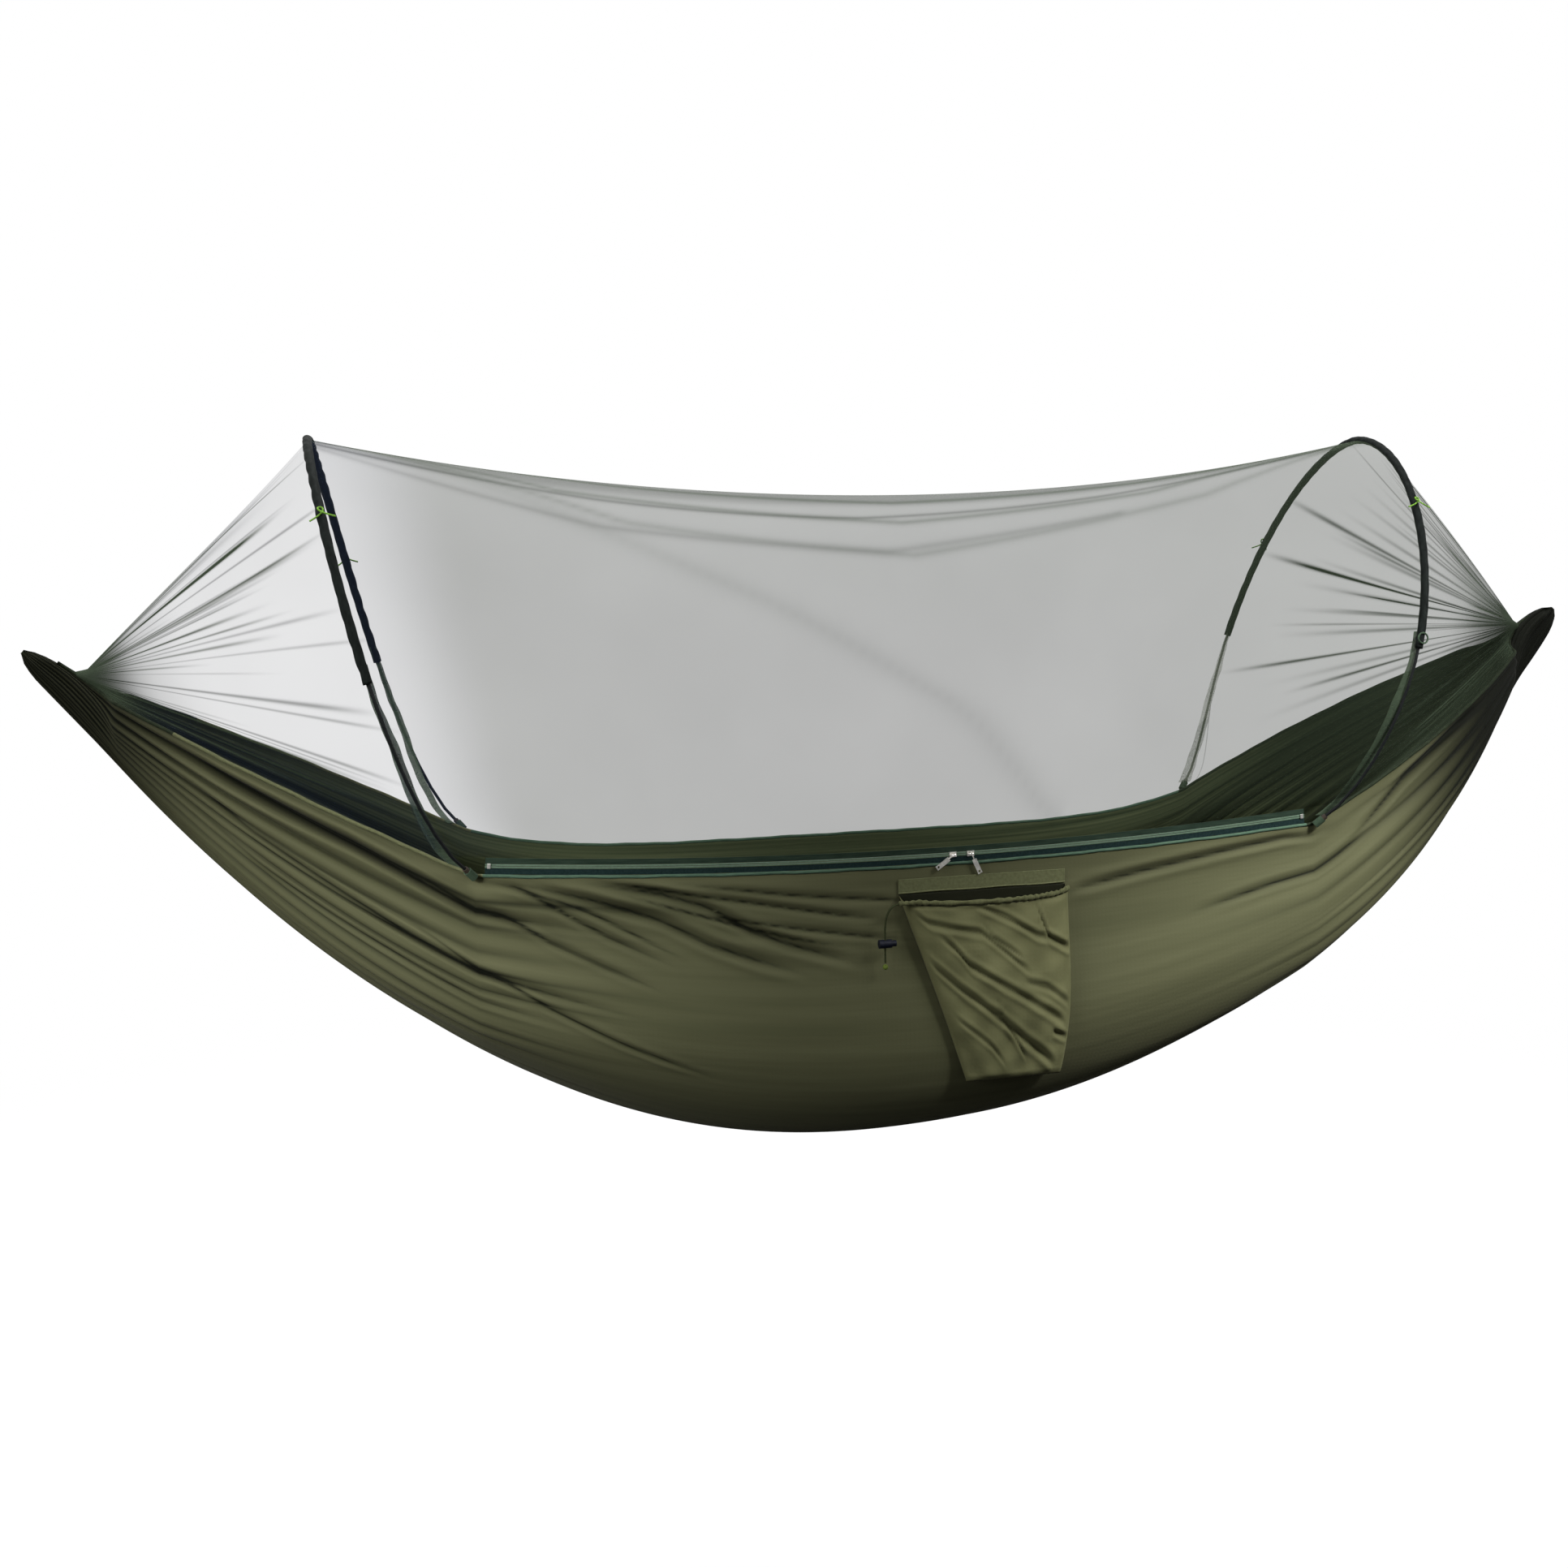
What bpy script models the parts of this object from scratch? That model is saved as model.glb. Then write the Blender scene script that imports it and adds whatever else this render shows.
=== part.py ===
"""Pop-up net hammock: a sling bed with a zipped insect net held up by two bent rods.

Metres, +Z up, +X along the bed, -Y the near side with the zip. The origin is the middle of the
straight line through both rope channels, from which the hammock hangs.
"""
import math

import bmesh
import bpy
from mathutils import Matrix, Vector

# Driving sizes of the whole hammock, hung up and empty.
HALF_LENGTH = 1.25
HANG_HEIGHT = 0.315
KEEL_DEPTH = 0.81
KEEL_POWER = 2.15
FOOT_X = 0.65
MOUTH_HALF_WIDTH = 0.21
MOUTH_TAPER_POWER = 2.2
BELLY = 0.07
NEAR_SAG = 0.027
FAR_SAG = 0.045
FAR_SAG_POWER = 5
NEAR = -1
FAR = 1
LEFT = -1
RIGHT = 1

# Gathered bed cloth and the rope channel at each end.
CLOTH_THICKNESS = 0.0012
SEAM_GAP = 0.0011
CHANNEL_LENGTH = 0.06
CHANNEL_HALF_WIDTH = 0.018
CHANNEL_RADIUS = 0.021
CHANNEL_RIB = 0.003
CHANNEL_RIBS = 5
ROPE_BORE_RADIUS = 0.006
CHANNEL_GAP = 0.001
PLEATS = 6
PLEAT_SHARE = 0.035
PLEAT_START = 0.35
PLEAT_FULL = 0.9
PLEAT_EDGE_POWER = 4

# Rims: a rolled hem on both long edges.
HEM_RADIUS = 0.002
HEM_GAP = 0.0006
HEM_INSET = 0.003

# Hoops: two bent rods that carry the net, seen from the foot up.
HOOP_HEIGHT = 0.61
HOOP_LEAN = 0.197
HOOP_HALF_WIDTH = 0.288
HOOP_CROWN_POWER = 1.12
LEAN_POWER = 0.456
LEAN_ROOT = 0.02
HOOP_STEPS = 42
POLE_RADIUS = 0.0025
SLEEVE_RADIUS = 0.006
SLEEVE_WALL = 0.0024
SLEEVE_END_HEIGHT = 0.275
TIP_RADIUS = 0.0042
TIP_WALL = 0.0012
TIP_LENGTH = 0.02
TIP_FLOOR = 0.003
POCKET_RADIUS = 0.0059
POCKET_WALL = 0.001
POCKET_LENGTH = 0.016
POCKET_FLOOR = 0.0012
FIT_GAP = 0.0004
SLEEVE_SEAT = 0.0055

# Zip along the near rim, between the hoop feet: every height is from the rim line up.
ZIP_GAP = 0.0008
TAPE_HEIGHT = 0.008
TAPE_THICKNESS = 0.0008
COIL_HEIGHT = 0.002
COIL_THICKNESS = 0.0022
COIL_SPLIT = 0.0011
ZIP_INSET = 0.015
ZIP_HALF_LENGTH = FOOT_X - ZIP_INSET
ZIP_STEPS = 40
STOP_LENGTH = 0.005
STOP_HEIGHT = 0.007
STOP_THICKNESS = 0.0014

# Zip sliders and their pulls.
LEFT_SLIDER_X = 0.05
RIGHT_SLIDER_X = 0.078
SLIDER_LENGTH = 0.011
SLIDER_PLATE = 0.0012
SLIDER_FLANGE = 0.001
SLIDER_CLEAR = 0.0004
SLIDER_WEB = 0.0005
SLIDER_WEB_LENGTH = 0.005
SLIDER_STEP = 0.0002
BAIL_LENGTH = 0.008
BAIL_RISE = 0.0042
BAIL_RADIUS = 0.0006
BAIL_CORNER_SHARE = 0.25
RING_RADIUS = 0.0005
RING_TOP = 0.0033
RING_LENGTH = 0.013
RING_HALF_DEPTH = 0.0019
PULL_LENGTH = 0.024
PULL_WIDTH = 0.007
PULL_THICKNESS = 0.0014
PULL_HOLE_RADIUS = 0.0018
LEFT_PULL_ANGLE = math.radians(-55)
RIGHT_PULL_ANGLE = math.radians(24)

# Net panels.
NET_THICKNESS = 0.001
NET_GAP = 0.0005
RIDGE_SAG = 0.088
RIDGE_POWER = 2
APEX_INSET = 0.025
APEX_RISE = 0.025
NET_FOOT_HEIGHT = 0.016
NET_EDGE_BLEND = 0.30
NET_EDGE_POWER = 2
NET_FOLD = 0.006
NET_FOLDS = 5
NET_MIDDLE_FOLDS = 3
MIDDLE_COLUMNS = 24
MIDDLE_ROWS = 20
END_COLUMNS = 20
END_ROWS = 13

# Net ties and the tie-back loop, sewn to the sleeves; heights are above the feet.
TIE_RADIUS = 0.0012
TIE_SCALE = 0.009
TIE_LIFT = 0.0018
NEAR_TIE_HEIGHT = 0.493
FAR_TIE_HEIGHT = 0.44
TIE_TURN = 1.5
TIE_POINTS = 20
LOOP_RADIUS = 0.008
LOOP_CORD_RADIUS = 0.0014
LOOP_HEIGHT = 0.289
LOOP_POINTS = 24

# Storage sack on the near side.
SACK_LEFT = -0.036
SACK_RIGHT = 0.228
SACK_HEIGHT = 0.289
SACK_BOTTOM_LEFT = 0.061
SACK_BOTTOM_RIGHT = 0.211
SACK_WALL = 0.0014
SACK_MOUTH_DEPTH = 0.036
SACK_BELLY_DEPTH = 0.037
SACK_BOTTOM_DEPTH = 0.009
SACK_MOUTH_DROP = 0.016
SACK_FRONT_POWER = 0.5
SACK_SIDE_POWER = 4
SACK_DEPTH_POWER = 2
SACK_SWELL_SHARE = 5 / 6
STRIP_DROP = 0.018
STRIP_HEIGHT = 0.021
STRIP_THICKNESS = 0.0016
SACK_GAP = 0.0005
SACK_EASE = 0.0012
MOUTH_CHANNEL_RADIUS = 0.0042
MOUTH_CHANNEL_START_SHARE = 0.2
MOUTH_CHANNEL_STOP_SHARE = 0.94
MOUTH_CHANNEL_STEPS = 14
SACK_POINTS = 24
SACK_RINGS = 8

# Drawcord of the sack and its spring lock.
CORD_RADIUS = 0.001
CORD_SPACING = 0.0028
CORD_OUT = 0.022
CORD_DROP = 0.034
CORD_FALL = 0.088
CORD_ROUTE_SHARES = ((0.35, 0.04), (0.68, 0.22), (0.92, 0.58))
CORD_STEPS = 5
LOCK_FALL = 0.058
LOCK_LENGTH = 0.019
LOCK_RADIUS = 0.0065
LOCK_BORE_RADIUS = 0.0051
LOCK_WALL = 0.0015
LOCK_SPRING_SPACE = 0.0055
PLUNGER_RADIUS = 0.0046
PLUNGER_OUT = 0.007
PLUNGER_TRAVEL = 0.0035
CORD_CLEAR = 0.0005
SPRING_WIRE = 0.0004
SPRING_RADIUS = 0.0035
SPRING_TURNS = 4
SPRING_TURN_POINTS = 8
KNOT_RADIUS = 0.0042

# Rows of the bed along its length, as shares of the stretch that they divide.
MIDDLE_STATION_SHARES = (0.0, 0.2, 0.4, 0.6, 0.8, 1.0)
END_STATION_SHARES = (0.15, 0.3, 0.45, 0.6, 0.74, 0.87, 1.0)
BED_COLUMNS = 24
BED_SEAMS = (0, 1, 8, 16, 24)

# How finely the round pieces are divided, and how sharp edges and seams are kept.
FINE_ROUND_STEPS = 2
COARSE_ROUND_STEPS = 1
CUP_SIDES = 16
ROLLER_SIDES = 16
ROLLER_RIB_STEPS = 3
NECK_SIDES = 12
BORE_SIDES = 16
HOLE_SIDES = 14
RING_POINTS = 20
LOCK_SIDES = 20
KNOT_SIDES = 14
KNOT_ROWS = 8
SHARP_ANGLE = math.radians(40)
EDGE_SHARE = 0.25
MERGE_SHARE = 0.01

FOOT_Z = -HANG_HEIGHT
BED_END_X = HALF_LENGTH - CHANNEL_LENGTH
BORE_X = HALF_LENGTH - CHANNEL_RADIUS
FOOT_OUTSET = HEM_RADIUS + FIT_GAP + POCKET_RADIUS
FOOT_HALF_WIDTH = MOUTH_HALF_WIDTH + FOOT_OUTSET
ARC_RADIUS = (FOOT_X ** 2 + NEAR_SAG ** 2) / (2 * NEAR_SAG)
ARC_CENTRE_Z = FOOT_Z - NEAR_SAG + ARC_RADIUS
COIL_LOW = HEM_RADIUS + ZIP_GAP + TAPE_HEIGHT + ZIP_GAP
ZIP_MIDDLE = COIL_LOW + COIL_HEIGHT + COIL_SPLIT / 2
ZIP_TOP = 2 * ZIP_MIDDLE - HEM_RADIUS - ZIP_GAP
NET_OFFSET = SLEEVE_RADIUS + NET_GAP + NET_THICKNESS / 2
RIM_SLOPE = HANG_HEIGHT / (HALF_LENGTH - FOOT_X)
SLOPE_STRETCH = math.hypot(1, RIM_SLOPE)
STRIP_TOP = FOOT_Z - NEAR_SAG - STRIP_DROP
HINGE_Z = STRIP_TOP - STRIP_HEIGHT - SACK_GAP


def material(name, colour, roughness, metallic=0.0, alpha=1.0):
    """A Principled material with one colour."""
    made = bpy.data.materials.new(name)
    made.use_nodes = True
    shader = made.node_tree.nodes["Principled BSDF"]
    shader.inputs["Base Color"].default_value = (*colour, 1.0)
    shader.inputs["Roughness"].default_value = roughness
    shader.inputs["Metallic"].default_value = metallic
    shader.inputs["Alpha"].default_value = alpha
    made.diffuse_color = (*colour, alpha)
    return made


def clear_scene():
    """Remove every object of the start-up scene."""
    for old in list(bpy.data.objects):
        bpy.data.objects.remove(old, do_unlink=True)


def collection(name):
    """A new collection under the scene."""
    made = bpy.data.collections.new(name)
    bpy.context.scene.collection.children.link(made)
    return made


clear_scene()
PARTS = collection("net_hammock")
CUTTERS = collection("cutters")

OLIVE = material("olive_nylon", (0.105, 0.112, 0.045), 0.55)
DARK_OLIVE = material("dark_olive_hem", (0.035, 0.042, 0.02), 0.6)
NET = material("grey_net", (0.5, 0.51, 0.5), 0.8, alpha=0.5)
TAPE = material("teal_zip_tape", (0.012, 0.03, 0.03), 0.7)
COIL = material("green_zip_coil", (0.2, 0.32, 0.2), 0.45)
STEEL = material("nickel", (0.6, 0.6, 0.58), 0.3, metallic=1.0)
ROD = material("black_fibreglass", (0.01, 0.011, 0.012), 0.35)
SLEEVE = material("black_sleeve", (0.016, 0.02, 0.02), 0.75)
RUBBER = material("brown_rubber", (0.03, 0.02, 0.012), 0.6)
NEON = material("neon_cord", (0.35, 0.75, 0.08), 0.6)
LOCK = material("navy_plastic", (0.01, 0.013, 0.025), 0.35)
CORD = material("olive_cord", (0.04, 0.05, 0.02), 0.8)


def add_object(name, data, finish, parent=None, home=None):
    """Link an object, give it its finish and hang it on its joint's empty."""
    made = bpy.data.objects.new(name, data)
    (home or PARTS).objects.link(made)
    if finish is not None and not data.materials:
        data.materials.append(finish)
    if parent is not None:
        made.parent = parent
        made.matrix_parent_inverse = parent.matrix_world.inverted()
    return made


def joint_empty(name, place):
    """An empty on a joint's axis."""
    made = bpy.data.objects.new(name, None)
    made.location = place
    made.empty_display_size = CHANNEL_RADIUS
    PARTS.objects.link(made)
    bpy.context.view_layer.update()
    return made


def as_cutter(made):
    """Keep a cutting body out of the part and show it as wire."""
    made.hide_render = True
    made.display_type = "WIRE"
    return made


def mesh_from(bm, name):
    """Turn a bmesh into a mesh with its normals facing out."""
    bmesh.ops.recalc_face_normals(bm, faces=bm.faces)
    data = bpy.data.meshes.new(name)
    bm.to_mesh(data)
    bm.free()
    return data


def smooth(made, angle=SHARP_ANGLE):
    """Shade a round piece smooth, keeping its sharp edges."""
    made.data.shade_smooth()
    made.data.set_sharp_from_angle(angle=angle)
    return made


def curve_data(name, points, radius, resolution, cyclic=False, caps=True):
    """A round tube along points, as curve data."""
    data = bpy.data.curves.new(name, "CURVE")
    data.dimensions = "3D"
    data.bevel_depth = radius
    data.bevel_resolution = resolution
    data.use_fill_caps = caps and not cyclic
    data.twist_mode = "MINIMUM"
    spline = data.splines.new("POLY")
    spline.points.add(len(points) - 1)
    for knot, place in zip(spline.points, points):
        knot.co = (*place, 1.0)
    spline.use_cyclic_u = cyclic
    return data


def tube(name, points, radius, finish, parent=None, resolution=FINE_ROUND_STEPS, cyclic=False):
    """A round tube object along points."""
    return add_object(name, curve_data(name, points, radius, resolution, cyclic), finish, parent)


def tube_mesh(name, points, radius, cyclic=False, caps=True):
    """The mesh of a round tube, its caps welded on."""
    data = curve_data(name, points, radius, COARSE_ROUND_STEPS, cyclic, caps)
    guide = bpy.data.objects.new(name, data)
    PARTS.objects.link(guide)
    bpy.context.view_layer.update()
    seen = guide.evaluated_get(bpy.context.evaluated_depsgraph_get())
    made = bpy.data.meshes.new_from_object(seen)
    bpy.data.objects.remove(guide, do_unlink=True)
    bm = bmesh.new()
    bm.from_mesh(made)
    bmesh.ops.remove_doubles(bm, verts=bm.verts, dist=radius * MERGE_SHARE)
    bm.to_mesh(made)
    bm.free()
    made.name = name
    return made


def solidify(made, thickness):
    """Give an open surface its thickness, half on each side."""
    shell = made.modifiers.new("thickness", "SOLIDIFY")
    shell.thickness = thickness
    shell.offset = 0.0
    shell.use_rim = True
    return made


def join_and_cut(made, joined=(), cut=()):
    """Boolean unions first, then Boolean cuts, all with cutters kept apart."""
    for kind, others in (("UNION", joined), ("DIFFERENCE", cut)):
        for other in others:
            as_cutter(other)
            change = made.modifiers.new(kind.lower(), "BOOLEAN")
            change.operation = kind
            change.solver = "EXACT"
            change.object = other
    return made


def surface(name, grid, thickness, finish, parent=None):
    """A cloth panel through a grid of points, rows by columns, with its thickness."""
    bm = bmesh.new()
    rows = [[bm.verts.new(place) for place in row] for row in grid]
    for low, high in zip(rows, rows[1:]):
        for k in range(len(low) - 1):
            bm.faces.new((low[k], low[k + 1], high[k + 1], high[k]))
    made = add_object(name, mesh_from(bm, name), finish, parent)
    made.data.shade_smooth()
    return solidify(made, thickness)


def box_mesh(name, low, high, turn=None):
    """A box between two corners, turned by a matrix when one is given."""
    bm = bmesh.new()
    bmesh.ops.create_cube(bm, size=1.0)
    size = Vector(high) - Vector(low)
    centre = (Vector(high) + Vector(low)) / 2
    bmesh.ops.scale(bm, vec=size, verts=bm.verts)
    bmesh.ops.translate(bm, vec=centre, verts=bm.verts)
    if turn is not None:
        bmesh.ops.transform(bm, matrix=turn, verts=bm.verts)
    return mesh_from(bm, name)


def rod_mesh(name, start, end, radius, sides):
    """A closed cylinder between two points."""
    axis = Vector(end) - Vector(start)
    turn = axis.to_track_quat("Z", "Y").to_matrix().to_4x4()
    bm = bmesh.new()
    bmesh.ops.create_cone(bm, cap_ends=True, segments=sides, radius1=radius, radius2=radius,
                          depth=axis.length)
    place = Matrix.Translation((Vector(start) + Vector(end)) / 2) @ turn
    bmesh.ops.transform(bm, matrix=place, verts=bm.verts)
    return mesh_from(bm, name)


# The lines that the whole hammock follows.

def along_end(x):
    """How far along the end stretch a place is: 0 at the hoop foot, 1 at the bed's end."""
    return max(0.0, (abs(x) - FOOT_X) / (BED_END_X - FOOT_X))


def mouth_half_width(x):
    """Half the mouth's width at a place along the bed."""
    narrowing = along_end(x) ** MOUTH_TAPER_POWER
    return MOUTH_HALF_WIDTH + (CHANNEL_HALF_WIDTH - MOUTH_HALF_WIDTH) * narrowing


def rim_height(x, side):
    """Height of a rim line: straight to the ends, sagging between the hoop feet."""
    if abs(x) > FOOT_X:
        return FOOT_Z + RIM_SLOPE * (abs(x) - FOOT_X)
    if side == NEAR:
        return ARC_CENTRE_Z - math.sqrt(ARC_RADIUS ** 2 - x ** 2)
    return FOOT_Z - FAR_SAG * (1 - (abs(x) / FOOT_X) ** FAR_SAG_POWER)


def rim_point(x, side, rise=0.0):
    """A point on a rim line, raised square to the line by rise."""
    lift = rise * (SLOPE_STRETCH if abs(x) >= FOOT_X else 1.0)
    return Vector((x, side * mouth_half_width(x), rim_height(x, side) + lift))


def keel_height(x):
    """Height of the bed's lowest line."""
    return -KEEL_DEPTH * (1 - (abs(x) / HALF_LENGTH) ** KEEL_POWER)


def cloth_edge(x, side):
    """Height of the bed cloth's top edge, just under the hem."""
    return rim_point(x, side, -(HEM_RADIUS + HEM_GAP)).z


def stations():
    """The places along the bed where its rows and rims have their points."""
    middle = [share * FOOT_X for share in MIDDLE_STATION_SHARES]
    ends = [FOOT_X + share * (BED_END_X - FOOT_X) for share in END_STATION_SHARES]
    right = middle + ends
    return [-x for x in reversed(right[1:])] + right


def pleat_depth(x):
    """Depth of the gathered pleats at a place along the bed."""
    ramp = min(1.0, max(0.0, (abs(x) / HALF_LENGTH - PLEAT_START) / (PLEAT_FULL - PLEAT_START)))
    girth = mouth_half_width(x) + cloth_edge(x, NEAR) - keel_height(x)
    return PLEAT_SHARE * girth * ramp * ramp


def bed_point(x, across, folded=True):
    """A point of the bed: across runs from -1 at the near edge, by 0 at the keel, to 1."""
    angle = across * math.pi / 2
    side = NEAR if across < 0 else FAR
    top = cloth_edge(x, side)
    depth = top - keel_height(x)
    belly = BELLY * math.sin(2 * angle) ** 2 * (mouth_half_width(x) / MOUTH_HALF_WIDTH) ** 2
    y = mouth_half_width(x) * math.sin(angle) + math.copysign(belly, across)
    z = top - depth * math.cos(angle)
    if folded:
        outward = Vector((0.0, depth * math.sin(angle), -mouth_half_width(x) * math.cos(angle)))
        outward.normalize()
        fold = pleat_depth(x) * math.cos(math.pi * PLEATS * across) * (1 - across ** PLEAT_EDGE_POWER)
        return Vector((x, y, z)) + outward * fold
    return Vector((x, y, z))


def bed_side(x, z):
    """How far the bed's near side stands out at a height below its edge."""
    line = [bed_point(x, 2 * k / BED_COLUMNS - 1, False) for k in range(BED_COLUMNS // 2 + 1)]
    for upper, lower in zip(line, line[1:]):
        if lower.z <= z <= upper.z:
            return -upper.lerp(lower, (upper.z - z) / (upper.z - lower.z)).y
    return -line[0].y


# Hoops.

ARCH_FOOT_ANGLE = math.acos(FOOT_HALF_WIDTH / HOOP_HALF_WIDTH)
ARCH_HALF_HEIGHT = HOOP_HEIGHT / (1 + math.sin(ARCH_FOOT_ANGLE))
ARCH_CENTRE = ARCH_HALF_HEIGHT * math.sin(ARCH_FOOT_ANGLE)


def hoop_point(end, angle):
    """A point on a hoop's middle line; the angle runs from the near foot over the crown."""
    c, s = math.cos(angle), math.sin(angle)
    power = HOOP_CROWN_POWER if s > 0 else 1.0
    y = -HOOP_HALF_WIDTH * math.copysign(abs(c) ** power, c)
    height = max(0.0, ARCH_CENTRE + ARCH_HALF_HEIGHT * math.copysign(abs(s) ** power, s))
    root = LEAN_ROOT ** LEAN_POWER
    full = (HOOP_HEIGHT + LEAN_ROOT) ** LEAN_POWER - root
    lean = HOOP_LEAN * ((height + LEAN_ROOT) ** LEAN_POWER - root) / full
    return Vector((end * (FOOT_X + lean), y, FOOT_Z + height))


def near_angle(height):
    """The angle at which the near leg passes a height above the feet."""
    share = (height - ARCH_CENTRE) / ARCH_HALF_HEIGHT
    power = HOOP_CROWN_POWER if share > 0 else 1.0
    return math.copysign(math.asin(abs(share) ** (1 / power)), share)


def hoop_angles():
    """Equal steps from the near foot to the far foot."""
    sweep = math.pi + 2 * ARCH_FOOT_ANGLE
    return [-ARCH_FOOT_ANGLE + sweep * k / HOOP_STEPS for k in range(HOOP_STEPS + 1)]


def foot_frame(end, side):
    """A hoop foot and the direction in which its rod leaves it."""
    angles = hoop_angles()
    first, second = (angles[0], angles[1]) if side == NEAR else (angles[-1], angles[-2])
    foot, after = hoop_point(end, first), hoop_point(end, second)
    return foot, (after - foot).normalized()


def build_hoop(end, word, pivot):
    """One bent rod with its cloth sleeve, rubber tips and foot pockets."""
    path = [hoop_point(end, angle) for angle in hoop_angles()]
    rod = list(path)
    for place, side in ((0, NEAR), (-1, FAR)):
        foot, leaving = foot_frame(end, side)
        rod[place] = foot + leaving * (TIP_FLOOR + FIT_GAP)
    tube(word + "_hoop_pole", rod, POLE_RADIUS, ROD, pivot, COARSE_ROUND_STEPS)

    covered = [place for place in path if place.z - FOOT_Z >= SLEEVE_END_HEIGHT]
    middle = SLEEVE_RADIUS - SLEEVE_WALL / 2
    skin = tube_mesh(word + "_hoop_sleeve", covered, middle, caps=False)
    sleeve = add_object(word + "_hoop_sleeve", skin, SLEEVE, pivot)
    smooth(solidify(sleeve, SLEEVE_WALL))

    for side, side_word in ((NEAR, "near"), (FAR, "far")):
        foot, leaving = foot_frame(end, side)
        build_foot(f"{word}_{side_word}", foot, leaving, pivot)


def cup(name, start, leaving, length, radius, wall, floor, finish, pivot):
    """A round cup with its mouth where the direction leaves it."""
    outer = rod_mesh(name, start, start + leaving * length, radius, CUP_SIDES)
    made = add_object(name, outer, finish, pivot)
    hollow_from = start + leaving * floor
    hollow_to = start + leaving * (length + floor)
    hollow = rod_mesh(name + "_bore", hollow_from, hollow_to, radius - wall, CUP_SIDES)
    return smooth(join_and_cut(made, cut=[add_object(name + "_bore", hollow, None, home=CUTTERS)]))


def build_foot(name, foot, leaving, pivot):
    """The rubber tip of a rod's end and the cloth pocket that it stands in."""
    cup(name + "_pole_tip", foot, leaving, TIP_LENGTH, TIP_RADIUS, TIP_WALL, TIP_FLOOR, RUBBER,
        pivot)
    below = foot - leaving * (POCKET_FLOOR + FIT_GAP)
    cup(name + "_foot_pocket", below, leaving, POCKET_LENGTH, POCKET_RADIUS, POCKET_WALL,
        POCKET_FLOOR, DARK_OLIVE, pivot)


def sleeve_frame(end, side, height):
    """A place on a sleeve, the way along it and the way out from the hoop."""
    angle = near_angle(height)
    step = (math.pi + 2 * ARCH_FOOT_ANGLE) / HOOP_STEPS
    if side == FAR:
        angle = math.pi - angle
    here = hoop_point(end, angle)
    along = (hoop_point(end, angle + step) - hoop_point(end, angle - step)).normalized()
    across = Vector((end, 0.0, 0.0))
    outward = along.cross(across).normalized()
    if outward.y * side < 0:
        outward = -outward
    return here, along, outward


def build_tie(name, end, side, height, pivot):
    """A short cord knotted into one loop and two tails, on the outside of a sleeve."""
    here, along, outward = sleeve_frame(end, side, height)
    across = along.cross(outward)
    base = here + outward * (SLEEVE_SEAT + FIT_GAP + TIE_RADIUS + TIE_LIFT)
    points = []
    for k in range(TIE_POINTS):
        t = TIE_TURN * (2 * k / (TIE_POINTS - 1) - 1)
        spread = TIE_SCALE * t * (t * t - 1)
        reach = TIE_SCALE * (t * t - 1)
        lift = TIE_LIFT * max(-1.0, min(1.0, t))
        points.append(base + across * spread + along * reach * side + outward * lift)
    tube(name, points, TIE_RADIUS, NEON, pivot, COARSE_ROUND_STEPS)


def build_tie_back_loop(pivot):
    """A small cord ring at the lower end of the right sleeve, for a rolled-up net."""
    here, along, outward = sleeve_frame(RIGHT, NEAR, LOOP_HEIGHT)
    across = along.cross(outward)
    centre = here + outward * (SLEEVE_SEAT + FIT_GAP + LOOP_CORD_RADIUS)
    points = []
    for k in range(LOOP_POINTS):
        turn = 2 * math.pi * k / LOOP_POINTS
        points.append(centre + LOOP_RADIUS * (across * math.cos(turn) + along * math.sin(turn)))
    tube("tie_back_loop", points, LOOP_CORD_RADIUS, NEON, pivot, COARSE_ROUND_STEPS, cyclic=True)


# Bed, rims and rope channels.

def build_bed():
    """The sling of cloth: panels sewn edge to edge, from the near rim's band to the far rim."""
    names = ("near_rim_band", "bed_near_side", "hammock_bed", "bed_far_side")
    panels = {name: [] for name in names}
    for x in stations():
        row = [bed_point(x, 2 * k / BED_COLUMNS - 1) for k in range(BED_COLUMNS + 1)]
        for name, first, last in zip(names, BED_SEAMS, BED_SEAMS[1:]):
            part = row[first:last + 1]
            if last < BED_COLUMNS:
                part[-1] = part[-1] + (part[-2] - part[-1]).normalized() * SEAM_GAP
            panels[name].append(part)
    for name in names:
        surface(name, panels[name], CLOTH_THICKNESS, OLIVE)


def build_hems():
    """The rolled hem along each rim."""
    for side, word in ((NEAR, "near"), (FAR, "far")):
        places = stations()
        ends = BED_END_X - HEM_INSET
        places = [-ends] + places[1:-1] + [ends]
        tube(word + "_rim_hem", [rim_point(x, side) for x in places], HEM_RADIUS, DARK_OLIVE,
             resolution=COARSE_ROUND_STEPS)


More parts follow.
